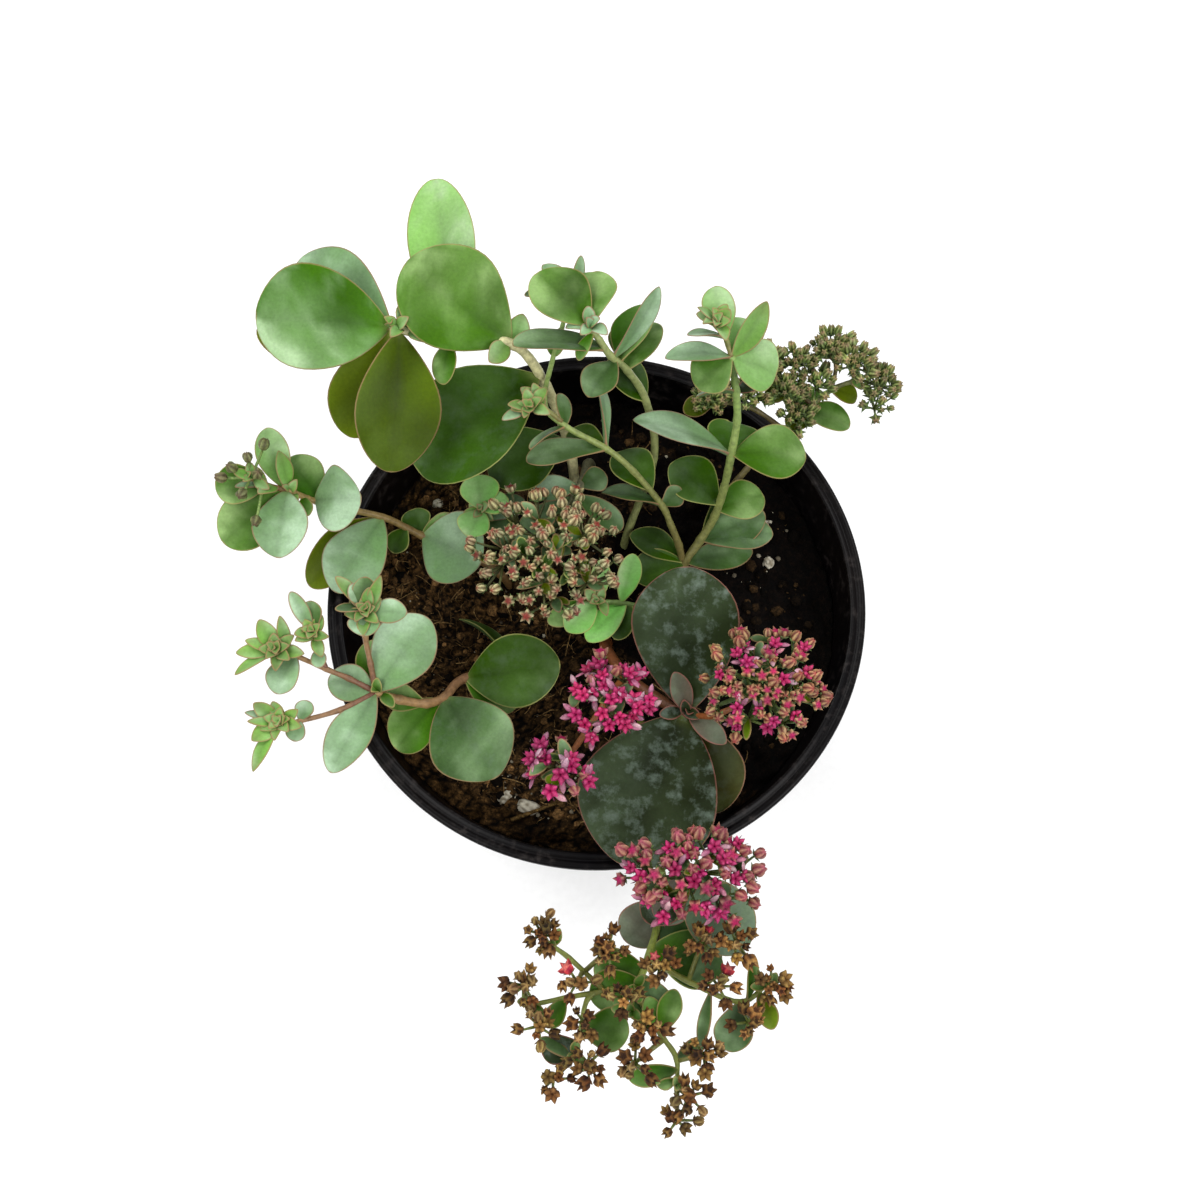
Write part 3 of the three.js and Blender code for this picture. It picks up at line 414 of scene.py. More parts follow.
def soil_height(x, y):
    """The mounds with clods of 9 mm, lumps of 3.5 mm and grit of 1.6 mm on them."""
    place = np.stack([x, y], -1)
    clods = 0.9 * waves(place, 9, 1) + 0.7 * np.abs(waves(place, 3.5, 2)) + 0.35 * waves(place, 1.6, 3)
    return SOIL_TOP + swell(x, y) + clods


def dry_and_lit(x, y):
    """Dry, lit peat from 0 to 1, in patches of 25 mm: tan to the left front, painted shade away from it."""
    patches = 0.3 * waves(np.stack([x, y], -1), 25, 5)
    return np.clip(0.2 + (DRY_LIT_WAY[0] * x + DRY_LIT_WAY[1] * y) / 68 + patches, 0, 1)


edge = wall_radius(SOIL_TOP) - WALL - SOIL_GAP
low_rings = [(0, 2), (40, 2), (62, 2)] + [(wall_radius(z) - WALL - LOW_GAP, z) for z in (9, 80)]
radii = np.concatenate([[r for r, _ in low_rings], np.linspace(edge, 1, SOIL_RINGS), [0]])[:, None]
fixed = np.concatenate([[z for _, z in low_rings], np.zeros(SOIL_RINGS + 1)])[:, None]
turn = 2 * np.pi * np.arange(SOIL_SIDES) / SOIL_SIDES
east, north = radii * np.cos(turn), radii * np.sin(turn)
bed = np.stack([east, north, np.where(fixed > 0, fixed, soil_height(east, north))], -1)[None]
print("soil from", bed[..., 2].min(), "to", bed[..., 2].max().round(1), "mm")

# %% [markdown]
# Milled peat with composted bark is matt and crumbly, nearly black where it is moist and a foxy brown where
# it has dried. The same blend carries painted shade, so the peat is lighter towards the left front and
# darker towards the right and the middle. A brown with noise would look like carpet. What sells it is
# contrast between grains of about 0.8 mm, deep relief, and no gloss at all, so one noise multiplies the
# colour and another drives the bump. Perlite, stems and flowers are made the same way with other numbers,
# so one function serves for them all.

# %% Peat
def flecked(name, fleck, stops, relief, strength, depth, **surface):
    """A finish whose colour is each point's own times flecks, with fine relief. fleck and relief are
    noises as (size in mm, detail, roughness), stops the ramp from the fleck to a factor, strength and
    depth in mm the bump's, and surface what else the shader is told."""
    material, tree, place = finish_of(name)
    tone = add(tree, "ShaderNodeAttribute", {"attribute_name": "tone"})
    specks, grains = (add(tree, "ShaderNodeTexNoise", Vector=place, Scale=1 / (size * MM), Detail=detail,
                          Roughness=rough) for size, detail, rough in (fleck, relief))
    factor = add(tree, "ShaderNodeValToRGB", stops=stops, Fac=specks)
    coat = add(tree, "ShaderNodeMix", TIMES, Factor=1.0, A=tone, B=factor)
    bump = add(tree, "ShaderNodeBump", Strength=strength, Distance=depth * MM, Height=grains)
    shader = add(tree, "ShaderNodeBsdfPrincipled", Base_Color=coat, Normal=bump, **surface)
    add(tree, "ShaderNodeOutputMaterial", Surface=shader)
    return material


peat = flecked("milled peat and bark", (0.8, 4.0, 0.7), [(0.35, 0.15), (0.6, 0.9), (0.74, 2.4)],
               (1.1, 5.0, 0.7), 0.8, 0.8, Roughness=1.0, Specular_IOR_Level=0.12)
fleck = waves(bed, 2.4, 4)[..., None]
# Painted shade and real drying: the bed runs from near-black peat to tan peat by how dry and how lit each
# point is.
dry = dry_and_lit(east, north)[None, ..., None]
moist_shaded_tone = blend(linear("#050302"), linear("#140b06"), 0.4 + 0.5 * fleck)
dry_lit_tone = blend(linear("#080402"), linear("#7a5a34"), 0.32 + 0.6 * fleck)
piece("soil_bed", [skin(bed, blend(moist_shaded_tone, dry_lit_tone, dry))], peat, "potting_soil", "soil")

# %% [markdown]
# On the bed lie loose crumbs of bark and peat, from dust to peas. They could be particles, but the
# exported model keeps none. So each is a rough ball of a few dozen faces, and they lie thicker on the dry
# side.

# %% Loose crumbs
CRUMBS, FLATNESS = 2600, 0.7


def lumps(places, sizes, tone, chance):
    """Rough grains: balls of four rings of six points, each point drawn in or out by chance."""
    count = len(places)
    polar = np.linspace(0, np.pi, 6)[None, :, None]
    angle = 2 * np.pi * np.arange(6)[None, None] / 6 + chance.uniform(0, 6, (count, 1, 1))
    size = sizes[:, None, None] / 2 * chance.uniform(0.7, 1.15, (count, 6, 6))
    x, y = size * np.sin(polar) * np.cos(angle), size * np.sin(polar) * np.sin(angle)
    grid = np.stack([x, y, -size * np.cos(polar) * FLATNESS], -1)
    return skin(grid + places[:, None, None], tone[:, None, None])


def strewn(count, chance, moist_share=0.4):
    """Chance places on the soil. All are kept on its dry, lit side, and a share of them on its moist,
    shaded side.
    """
    angle, r = chance.uniform(0, 2 * np.pi, count), SOIL_REACH * chance.uniform(0, 1, count) ** 0.5
    x, y = r * np.cos(angle), r * np.sin(angle)
    kept = chance.uniform(0, 1, count) < blend(moist_share, 1.0, 1.6 * dry_and_lit(x, y))
    return np.stack([x, y, soil_height(x, y)], -1)[kept]


chance = np.random.default_rng(7)
crumb_places = strewn(CRUMBS, chance)
count = len(crumb_places)
crumb_sizes = 0.7 + 4.2 * chance.uniform(0, 1, count) ** 3.5
# The crumbs grow lighter on the dry, lit side: partly dry bark, partly painted light.
share = chance.uniform(0, 1, (count, 1)) ** 2 * (0.25 + dry_and_lit(*crumb_places.T[:2])[:, None])
crumb_tone = blend(linear("#090502"), linear("#987246"), share)
piece("soil_crumbs", [lumps(crumb_places, crumb_sizes, crumb_tone, chance)], peat, "potting_soil")

# %% [markdown]
# Coir and root fibres stick out of the peat, tan and bent, a few millimetres long and 0.2 to 0.5 mm
# thick. A curve with a bevel would make each one. Rods on a grid make them all at once, and serve for
# flower stalks too.

# %% Twigs and fibres
FIBRES = 1500


def rods(starts, ends, radii, tone, bends=0, rows=6, sides=5):
    """Thin rods between pairs of places. Each runs straight, plus a bow of bends times 4t(1-t), and is
    drawn in from its first radius to its second. Its rings stand square to its chord. radii and tone are
    given once for all rods or once for each."""
    radii, tone = np.broadcast_to(radii, (len(starts), 2)), np.broadcast_to(tone, starts.shape)
    t = np.concatenate([[0], np.linspace(0, 1, rows - 2), [1]])[None, :, None]
    chord = unit(ends - starts)
    hint = np.where(np.abs(chord[:, 2:]) < 0.8, [[0.0, 0, 1]], [[1.0, 0, 0]])
    across = unit(np.cross(chord, hint))
    up = np.cross(chord, across)
    angle = 2 * np.pi * np.arange(sides)[None, None] / sides
    size = blend(radii[:, 0, None, None], radii[:, 1, None, None], t)
    size[:, [0, -1]] = 0
    bow = np.broadcast_to(bends, starts.shape)[:, None, None] * (4 * t * (1 - t))[..., None]
    spine = starts[:, None, None] + (ends - starts)[:, None, None] * t[..., None] + bow
    aside = across[:, None, None] * (size * np.cos(angle))[..., None]
    upward = up[:, None, None] * (size * np.sin(angle))[..., None]
    return skin(spine + aside + upward, tone[:, None, None])


fibre_start = strewn(FIBRES, chance, 0.06)
count = len(fibre_start)
heading, reach = chance.uniform(0, 2 * np.pi, count), chance.uniform(2, 8, count)
fibre_end = fibre_start + np.stack([reach * np.cos(heading), reach * np.sin(heading), 0 * reach], -1)
inside = np.hypot(*fibre_end.T[:2]) < SOIL_REACH
fibre_start, fibre_end = fibre_start[inside], fibre_end[inside]
count = len(fibre_start)
fibre_end[:, 2] = soil_height(*fibre_end.T[:2]) + 0.3
bows = chance.normal(0, 1, (count, 3)) * (1.2, 1.2, 0.3) + (0, 0, 0.7)
thin = chance.uniform(0.08, 0.22, (count, 1)) * (1, 0.7)
fibre_tone = blend(linear("#3a2412"), linear("#bc9862"), chance.uniform(0, 1, (count, 1)) ** 1.4)
twig_start = np.array([(-26.0, -66, 147), (-58, 22, 147)])
twig_end = np.array([(-12.0, -61, 148), (-49, 30, 148)])
twigs = rods(twig_start, twig_end, [(0.7, 0.5), (0.6, 0.4)], linear("#7d6238"), rows=9)
piece("soil_fibres", [rods(fibre_start, fibre_end, thin, fibre_tone, bows), twigs], peat, "potting_soil")

# %% [markdown]
# Perlite is volcanic glass puffed like popcorn: chalky white, quite matt, with pits of about 0.7 mm where
# its bubbles burst, and stained tan by the peat. A flat white would look like plastic, so the bump is
# deep and the stain is kept in the grain's own colour.

# %% Perlite
BUBBLES = (0.7, 4.0, 0.7)
chalk = flecked("puffed perlite", BUBBLES, [(0.3, 0.7), (0.6, 1.0)], BUBBLES, 0.7, 0.4, Roughness=0.95)

# %% [markdown]
# Five grains are large enough to be solids of their own. Each is an egg of its solid's size with knobs
# and dents on it. Finer grit is strewn over the bed and lies thick about two spots, where a handful fell.

# %% The grains
SPECKS = 150
PERLITE = {
    "perlite_front": (-21, -62, 8, 5, -10), "perlite_left": (-28, -59, 5, 4, 30),
    "perlite_back": (-53, 38, 5, 4, 60), "perlite_right": (56, 30, 4.5, 4, 20),
    "perlite_side": (56, 17, 4.5, 4, 80),
}
GRAIN_LIFT = 0.6


def grain(x, y, length, width, turn, seed, rows=22, sides=26):
    """One grain: an egg of the solid's half sizes, times 0.9 with knobs of relief, turned about Z."""
    polar = np.linspace(0, np.pi, rows)[:, None]
    angle = 2 * np.pi * np.arange(sides) / sides
    across = np.sin(polar)
    ball = np.stack([across * np.cos(angle), across * np.sin(angle), -np.cos(polar) + 0 * angle], -1)
    knobs = 0.9 + 0.08 * waves(ball, 1.3, seed) + 0.04 * waves(ball, 0.5, seed + 1)
    shape = ball * knobs[..., None] * (length / 2, width / 2, width * 0.4)
    c, s = math.cos(math.radians(turn)), math.sin(math.radians(turn))
    shape = shape @ np.array([(c, s, 0), (-s, c, 0), (0, 0, 1)])
    dirt = blend(linear("#857a64"), linear("#d3ccb8"), 0.6 + 0.5 * waves(ball, 0.8, seed + 2)[..., None])
    return skin((shape + (x, y, SOIL_TOP + float(swell(x, y)) + GRAIN_LIFT))[None], dirt)


for seed, (name, size) in enumerate(PERLITE.items()):
    piece(name + "_grain", [grain(*size, 20 + 3 * seed)], chalk, "perlite_grain", name)
speck_places = strewn(SPECKS, chance)
near_front = chance.normal((-24, -56), (9, 8), (60, 2))
near_right = chance.normal((52, 14), (4, 12), (14, 2))
near = np.concatenate([near_front, near_right])
near = near[np.hypot(*near.T) < SOIL_REACH]
speck_places = np.concatenate([speck_places, np.c_[near, soil_height(*near.T)]]) + (0, 0, 0.2)
count = len(speck_places)
speck_tone = blend(linear("#4f4433"), linear("#c4bca4"), chance.uniform(0, 1, (count, 1)) ** 1.6)
speck_sizes = 0.4 + 1.4 * chance.uniform(0, 1, count) ** 3
piece("perlite_specks", [lumps(speck_places, speck_sizes, speck_tone, chance)], chalk, "perlite_grain")

# %% [markdown]
# ## The stems and leaves
# The tables repeat the routes of the solids in mm, so that each fine stem lies where its plain one does.
# Each shoot is (path, thickness at root and tip, kinds of its leaves, leaves). A path is a list of places
# from the root to the tip. A leaf is (place along the path, compass heading, climb, length, width, roll,
# bow, cup), and its kind is a letter: p pale and waxy, g grey green, b bright, d deep, o olive, l light,
# e emerald, y young, w with a strong painted sheen of wax at the tip, n dull olive, v violet and marked,
# m pale and marked, u plum, k dark olive. A capital moves the painted sheen to the blade's other half. At
# the back stand the tallest stems.

# %% The stems at the back
STEMS = {
    "stem_back_left": [
        ([(-6, 22, 131), (-6, 26, 150), (-8, 44, 172), (-15, 56, 194), (-24, 61, 210), (-40, 61, 211),
          (-57, 61, 219)],
         (4.2, 3), "ddbyylbnWPoo", [(2.2, 208, -6, 27, 24, 10), (3.2, 216, -14, 46, 37, 4, 0.08, 0.22),
          (4, 150, 20, 37, 32, -16, 0.08, 0.2), (4, 66, 30, 9, 7, 20), (4.1, 236, 10, 9, 7, -30),
          (4.9, 100, 10, 50, 21, -12, 0.03, 0.3), (5.1, 262, -10, 13, 8, 10),
          (5.9, 265, -26, 40, 26, -26, 0.05, 0.2), (6, 180, 8, 37, 32, -18, 0.08, 0.2),
          (6, 141, -6, 38, 23, -14), (6, 173, -12, 41, 26, -8), (6, 234, -41, 36, 20, -18)]),
    ],
    "stem_back_middle": [
        ([(8, 22, 131), (10, 26, 150), (18, 44, 170), (15, 54, 188), (9, 58, 200), (4, 59, 207),
          (1, 61, 212), (-2, 63, 216)],
         (3.2, 2.2), "dbbggpBBb", [(3, 139, 24, 17, 15, 20), (4, 75, -12, 20, 18, -10),
          (4.4, 66, 2, 21, 15, -30), (4.6, 235, -4, 14, 12, 10), (5.4, 184, 12, 27, 14, 30),
          (4.8, 52, 26, 24, 9, 66, 0.04), (6.6, 240, -20, 9, 5, 20), (7, 133, 6, 22, 19, 4),
          (7, 86, -4, 19, 16, -10)]),
    ],
    "stem_forked": [
        ([(27, 12, 131), (28, 15, 150), (33, 21, 157), (37, 26, 165), (39, 31, 176), (40, 36, 189),
          (41, 43, 198), (40, 48, 206), (38, 54, 215)],
         (3.4, 2.4), "ddGDGgbDPBdgVpYlLB", [(1.1, 155, 12, 20, 12, 16), (1.1, 196, 6, 18, 14, -14),
          (1.1, 8, 8, 22, 11, 10), (2, 68, 10, 15, 8, 55), (2, 18, 16, 22, 14, 22), (2, 2, 8, 23, 14, -14),
          (3.2, 22, -4, 16, 14, 8), (3.4, 138, 6, 20, 17, 6), (5, 163, 8, 31, 15, 34),
          (5, -3, 4, 22, 19, -6), (5, 88, -20, 14, 16, 4), (7, 193, 10, 12, 8, 60), (7, 36, 16, 8, 7, 60),
          (8, 184, 6, 19, 10, 26), (8, 54, 24, 18, 8, 34, 0.05, 0.4), (8, 68, -10, 15, 13, 0),
          (8, -14, -16, 14, 18, 4), (8, 218, -16, 13, 14, 4)]),
        ([(38, 54, 215), (36, 58, 219), (33, 60, 223)],
         (2, 1.4), "lPYy", [(1, 102, 10, 15, 10, -6), (1, 182, 10, 11, 6, 40), (2, 150, 30, 7, 4, 30),
          (1.9, 33, 50, 6, 5, 24)]),
        ([(28, 15, 149), (26, 19, 158), (23, 23, 166), (20, 27, 172), (11, 33, 184), (3, 37, 191),
          (-9, 41, 198), (-15, 47, 200), (-13, 61, 200), (-10, 70, 204), (-8, 78, 208)],
         (2.8, 1.5), "gGdpgDggppGB", [(3, 172, 8, 19, 11, 42), (3, 38, 8, 8, 8, 40),
          (3.4, 125, -8, 18, 15, 10), (5, 99, 12, 23, 9, 70, 0.04), (5, 190, 2, 24, 12, 24),
          (5, 150, -26, 16, 12, 0), (6, 100, 10, 10, 6, 30), (6, 218, 6, 13, 6, 46),
          (10, 70, 24, 12, 5, 50), (10, 130, 12, 12, 7, 10), (10, 182, 4, 13, 6, 20),
          (9, 250, -30, 9, 6, 10)]),
        ([(-10, 42, 199), (-15, 44, 203), (-19, 43, 205)],
         (1.8, 1.5), "YYYPy", [(1, 142, 20, 9, 5, 10), (1, 116, 30, 8, 4, -20), (2, 184, 30, 7, 4, 10),
          (2, 210, 10, 9, 4, 10), (2, 270, 50, 5, 4, 10)]),
    ],
    "spray_back_right": [
        ([(36, 30, 131), (37, 31, 148), (44, 38, 163), (52, 45, 172), (62, 53, 179), (72, 60, 184),
          (80, 62, 187)],
         (3, 1.6), "BbOO", [(4, 80, -6, 13, 14, 0), (4.2, -14, -8, 15, 12, -10), (4.2, 240, 10, 9, 8, 10),
          (5, -10, -20, 9, 8, 0)]),
        ([(58, 50, 177), (50, 54, 181), (44, 56, 182), (36, 57, 182)],
         (1.9, 1.5), "o", [(3, 200, 0, 10, 8, 0)]),
        ([(66, 56, 182), (60, 60, 185), (54, 64, 186)],
         (1.6, 1.4), "O", [(1, 190, -20, 9, 8, 0)]),
        ([(72, 60, 184), (73, 66, 188), (71, 69, 189)],
         (1.6, 1.4), "", []),
    ],
}
print(len(STEMS), "stems so far")

# %% [markdown]
# At the left two stems lean out over the rim, each ending in knots of small leaves. Short shoots fill the
# middle. They stand lower, in the shade, and their leaves are smaller.

# %% The stems at the left and in the middle
STEMS |= {
    "stem_left": [
        ([(-28, 10, 131), (-30, 11, 150), (-41, 17, 155), (-55, 21, 161), (-66, 24, 169), (-82, 24, 180),
          (-91, 25, 188)],
         (3.2, 2.2), "PBdDpOpbBlYbP", [(3, -26, 8, 22, 26, 10), (3, 16, 4, 13, 11, 10),
          (3, 110, -6, 10, 10, 0), (3.4, 240, -10, 9, 8, 0), (4, 242, 2, 28, 20, -6),
          (4, 223, -8, 31, 17, 2), (5.2, -6, 24, 17, 21, 14, 0.1), (5, 128, 8, 18, 14, 0),
          (5.5, 285, 10, 7, 5, 0), (6, 111, 10, 20, 11, -10), (6, 100, 36, 12, 6, 40),
          (6, 222, -4, 24, 19, -8), (6, 268, 6, 22, 17, -4)]),
        ([(-91, 25, 188), (-96, 25, 192), (-100, 26, 195)],
         (2, 1.5), "BYpYy", [(1, 180, 2, 15, 13, -14), (1, 142, 20, 8, 5, 0), (1, 192, 20, 9, 3, 10),
          (2, 190, 55, 6, 4, 0), (0.5, 235, 50, 9, 5, 0)]),
    ],
    "stem_front_left": [
        ([(-22, -19, 131), (-24, -20, 150), (-40, -25, 160), (-45, -32, 166), (-50, -35, 170),
          (-57, -35, 175), (-63, -34, 180)],
         (3.6, 2.8), "ddBGbbPbpp", [(1.1, 140, 12, 24, 12, 70, 0.12), (2, 5, 12, 30, 24, 8),
          (2, -30, -8, 18, 12, 0), (3, -58, 8, 30, 27, -4), (3.2, 228, -10, 20, 17, 10),
          (4, 165, 4, 14, 9, -20), (6, 55, 12, 26, 20, 4), (6, 100, -4, 16, 10, 0), (6, 245, 4, 26, 13, -6),
          (6, 165, 10, 14, 12, 0)]),
        ([(-63, -34, 180), (-64, -27, 185), (-65, -20, 190), (-64, -14, 194)],
         (2, 1.8), "GyPGpyPyy", [(3, 92, 34, 10, 8, 0), (3, 60, 40, 12, 4, 30), (3, -8, 12, 12, 8, 0),
          (3, 182, 20, 9, 4, 30), (3, 265, 10, 8, 10, 0), (3, 135, 20, 13, 5, 20), (3, 122, 30, 9, 6, 0),
          (3, 75, 50, 8, 4, 0), (3, 20, 70, 5, 4, 0)]),
        ([(-63, -34, 180), (-72, -40, 184), (-82, -44, 188), (-87, -45, 190)],
         (2, 1.5), "PPYPYyyY", [(2, 72, 0, 6, 6, 0), (2, 258, 0, 6, 6, 0), (3, 145, 20, 9, 5, 0),
          (3, 165, 10, 10, 3, 20), (3, 220, 16, 9, 6, 0), (3, 246, 4, 15, 5, 20), (3, 184, 30, 9, 3, 0),
          (3, 20, 60, 5, 4, 0)]),
        ([(-63, -34, 180), (-70, -31, 184), (-76, -29, 187), (-84, -26, 190), (-89, -25, 192)],
         (2, 1.5), "PyyYYyy", [(3, 246, 4, 12, 10, 0), (4, 120, 26, 10, 6, 0), (4, 165, 20, 9, 4, 10),
          (4, 186, 10, 11, 5, 0), (4, 214, 6, 13, 4, 20), (4, 90, 50, 6, 4, 0), (3.4, 100, 30, 11, 4, 20)]),
        ([(-76, -29, 187), (-78, -24, 190), (-79, -20, 193)],
         (1.8, 1.5), "PGPy", [(1, 280, 10, 6, 5, 0), (2, 98, 14, 9, 7, 0), (2, 120, 24, 13, 5, 10),
          (2, 200, 40, 6, 4, 0)]),
    ],
    "shoot_rosette": [
        ([(-30, 23, 131), (-31, 23, 150), (-34, 23, 164), (-35, 24, 175)],
         (2.2, 1.8), "EEeEpgy", [(2, 95, -4, 11, 12, 0), (3, 96, 14, 11, 13, 0), (3, 250, 8, 10, 11, 0),
          (3, 20, 10, 9, 8, 0), (2.4, 28, 0, 14, 9, 0), (2.4, -28, -4, 10, 9, 0), (3, 0, 60, 5, 4, 0)]),
    ],
    "shoot_middle": [
        ([(24, -6, 131), (22, -6, 150), (14, -3, 161), (6, -3, 167), (0, -4, 170)],
         (2.4, 1.7), "dEEEeBY", [(2.4, 245, -6, 12, 8, 0), (2.6, 225, 2, 17, 10, 6),
          (2.8, 75, 6, 16, 8, 10), (4, 84, 16, 13, 7, 20), (4, 226, 6, 13, 10, 0), (4, 200, -10, 16, 8, 0),
          (4, 140, 40, 6, 4, 0)]),
    ],
    "stem_middle": [
        ([(-2, 50, 131), (-2, 50, 150), (-3, 44, 164), (-5, 32, 174), (-12, 14, 180), (-14, 8, 184)],
         (3.4, 3), "gpgG", [(3, 24, 4, 9, 9, 0), (3, 190, 4, 15, 10, 10), (3.2, 215, -28, 26, 12, 0),
          (3.2, -30, -24, 18, 9, 0)]),
    ],
}
print(len(STEMS), "stems so far")

# %% [markdown]
# At the front one thick stem carries the big dark leaves and the stalks of the pink heads, and the old
# spray creeps over the rim and forks into seven.

# %% The stems at the front
STEMS |= {
    "stem_front": [
        ([(4, -8, 131), (3, -11, 150), (3, -15, 158), (9, -25, 164), (20, -34, 167), (27, -38, 169)],
         (4.4, 3.4), "VvKUU", [(5, 91, 9, 44, 34, 0, 0.05, 0.14), (4.8, 248, 2, 48, 43, 0, 0.06, 0.12),
          (5, 285, -12, 30, 26, 10), (5, 112, 34, 14, 7, 0), (5, -44, 20, 15, 7, 0)]),
        ([(27, -38, 169), (33, -40, 176), (41, -38, 183), (46, -35, 190)],
         (2.2, 2), "", []),
        ([(27, -38, 168), (25, -52, 165), (23, -66, 166), (23, -78, 169), (25, -85, 178), (25, -86, 190)],
         (2.4, 2), "MUv", [(4, -54, 2, 25, 20, 0), (4, 240, 0, 15, 12, 0), (4, 226, 0, 17, 13, 0)]),
        ([(9, -25, 165), (5, -32, 174), (3, -38, 186)],
         (2.4, 2), "", []),
        ([(5, -32, 174), (-5, -48, 177), (-10, -57, 185)],
         (2.2, 1.8), "", []),
    ],
    "spray_trailing": [
        ([(12, -30, 131), (13, -32, 150), (15, -55, 163), (16, -74, 168), (19, -88, 170), (14, -107, 177),
          (10, -115, 180)],
         (3, 2.2), "ugDBGB", [(4.2, 226, -6, 15, 14, 0), (4.3, -50, -6, 15, 14, 0),
          (4.8, -14, -8, 20, 17, 0), (5.2, 184, -8, 14, 12, 0), (5.4, 290, -6, 14, 12, 0),
          (5.6, 200, -4, 14, 12, 0)]),
        ([(10, -115, 180), (4, -115, 180), (-2, -117, 180), (-4, -125, 181), (-6, -132, 181)],
         (2, 1.4), "bvG", [(3, 0, -10, 13, 12, 0), (3.4, 200, -10, 10, 8, 0), (4, 150, 0, 10, 4, 20)]),
        ([(4, -115, 180), (-8, -117, 180), (-18, -119, 181)],
         (1.8, 1.4), "b", [(1, 236, -6, 9, 6, 0)]),
        ([(2, -115, 180), (-7, -107, 182), (-13, -103, 183)],
         (1.8, 1.4), "", []),
        ([(14, -107, 177), (25, -113, 181), (38, -118, 181), (46, -113, 182)],
         (2, 1.4), "ggboG", [(2, 255, -8, 13, 11, 0), (1.4, 258, 0, 14, 4, 20), (2.2, 80, 10, 12, 4, 30),
          (2.6, 290, 0, 10, 6, 0), (1, 40, -10, 11, 9, 0)]),
        ([(10, -115, 180), (17, -126, 180), (21, -132, 180), (21, -139, 180)],
         (2, 1.4), "bBBg", [(1, 70, 4, 12, 7, 0), (1, 110, 0, 10, 6, 0), (2.4, 190, 0, 13, 6, 0),
          (2, 30, 0, 9, 5, 0)]),
        ([(10, -115, 180), (9, -121, 183)],
         (1.8, 1.4), "", []),
    ],
}
print(len(STEMS), "stems so far")

# %% [markdown]
# The paths above are bent lines, and a stem has no corners. A spline object could round them off, but
# leaves and twigs need places on the same line. A cardinal spline passes through every place of its path
# and gives a point for any count along it.

# %% A smooth line through a path
def along(path, at):
    """The places that count as at on a smooth line through a path: a cardinal spline, whose slope at each
    place is half the way from the place before it to the place after it."""
    path = np.array(path, float)
    ends = np.concatenate([[2 * path[0] - path[1]], path, [2 * path[-1] - path[-2]]])
    at = np.asarray(at, float)
    k = np.minimum(at.astype(int), len(path) - 2)
    t = (at - k)[..., None]
    a, b, c, d = (ends[k + i] for i in range(4))
    bent = (2 * a - 5 * b + 4 * c - d) * t ** 2 + (3 * b - a - 3 * c + d) * t ** 3
    return 0.5 * (2 * b + (c - a) * t + bent)

print("half way up the first stem:", along(STEMS["stem_back_left"][0][0], 3).round(1), "mm")

# %% [markdown]
# The green of a leaf lies under a grey-blue dust of wax. It gathers in soft clouds a centimetre or so
# across, and the old dark leaves wear it in marks. Over it lies a painted sheen in the wax's colour,
# which makes the tip and one half of the blade paler, and a painted shade that darkens the blade along
# its midrib. All but the finest marks change so slowly that a colour at each point holds them, with no
# texture at all. Each kind of leaf has its green, how much wax it wears, how strong its painted sheen is,
# how marked it is, how red its rim is, and how pointed it is.

# %% The kinds of leaf
KINDS = {
    # letter: green, wax all over, painted sheen on the sheen half, how blue the wax and sheen are,
    # how marked the leaf is, how red its rim is, how pointed it is
    "p": ("#47702a", 0.28, 0.66, 1.0, 0.3, 0.9, 0.0), "g": ("#2c4a14", 0.05, 0.36, 0.7, 0.3, 0.8, 0.0),
    "b": ("#38620a", 0.0, 0.52, 0.25, 0.06, 0.6, 0.0), "d": ("#2c4c02", 0.0, 0.12, 0.5, 0.2, 0.3, 0.0),
    "w": ("#38620a", 0.0, 0.85, 0.7, 0.06, 0.7, 0.0), "n": ("#3c5004", 0.0, 0.06, 0.0, 0.0, 0.8, 0.0),
    "o": ("#566804", 0.0, 0.05, 0.0, 0.0, 0.8, 0.0), "l": ("#6a9c3c", 0.2, 0.6, 0.6, 0.05, 0.7, 0.0),
    "e": ("#60ac38", 0.26, 0.62, 0.5, 0.0, 0.3, 0.0), "y": ("#5f8c30", 0.1, 0.42, 0.6, 0.0, 0.8, 0.3),
    "v": ("#1c240e", 0.0, 0.08, 0.8, 1.0, 1.0, 0.0), "m": ("#47543c", 0.2, 0.25, 1.0, 0.8, 0.8, 0.0),
    "u": ("#4e4238", 0.05, 0.2, 1.0, 0.3, 1.0, 0.0), "k": ("#2c2a06", 0.0, 0.05, 0.5, 0.2, 0.9, 0.0),
}
# The wax colours, which serve both the real wax and the painted sheen.
GREEN_WAX_SHEEN, BLUE_WAX_SHEEN = "#98b866", "#a2be9c"
UNDERSIDE = "#61764c"
FOOT = "#7d8a4a"
BUD_TIP = "#7a4e40"
DRIFT, CLOUD, WISP = 20, 13, 5  # mm across, of lighter green, of wax, and of its edges


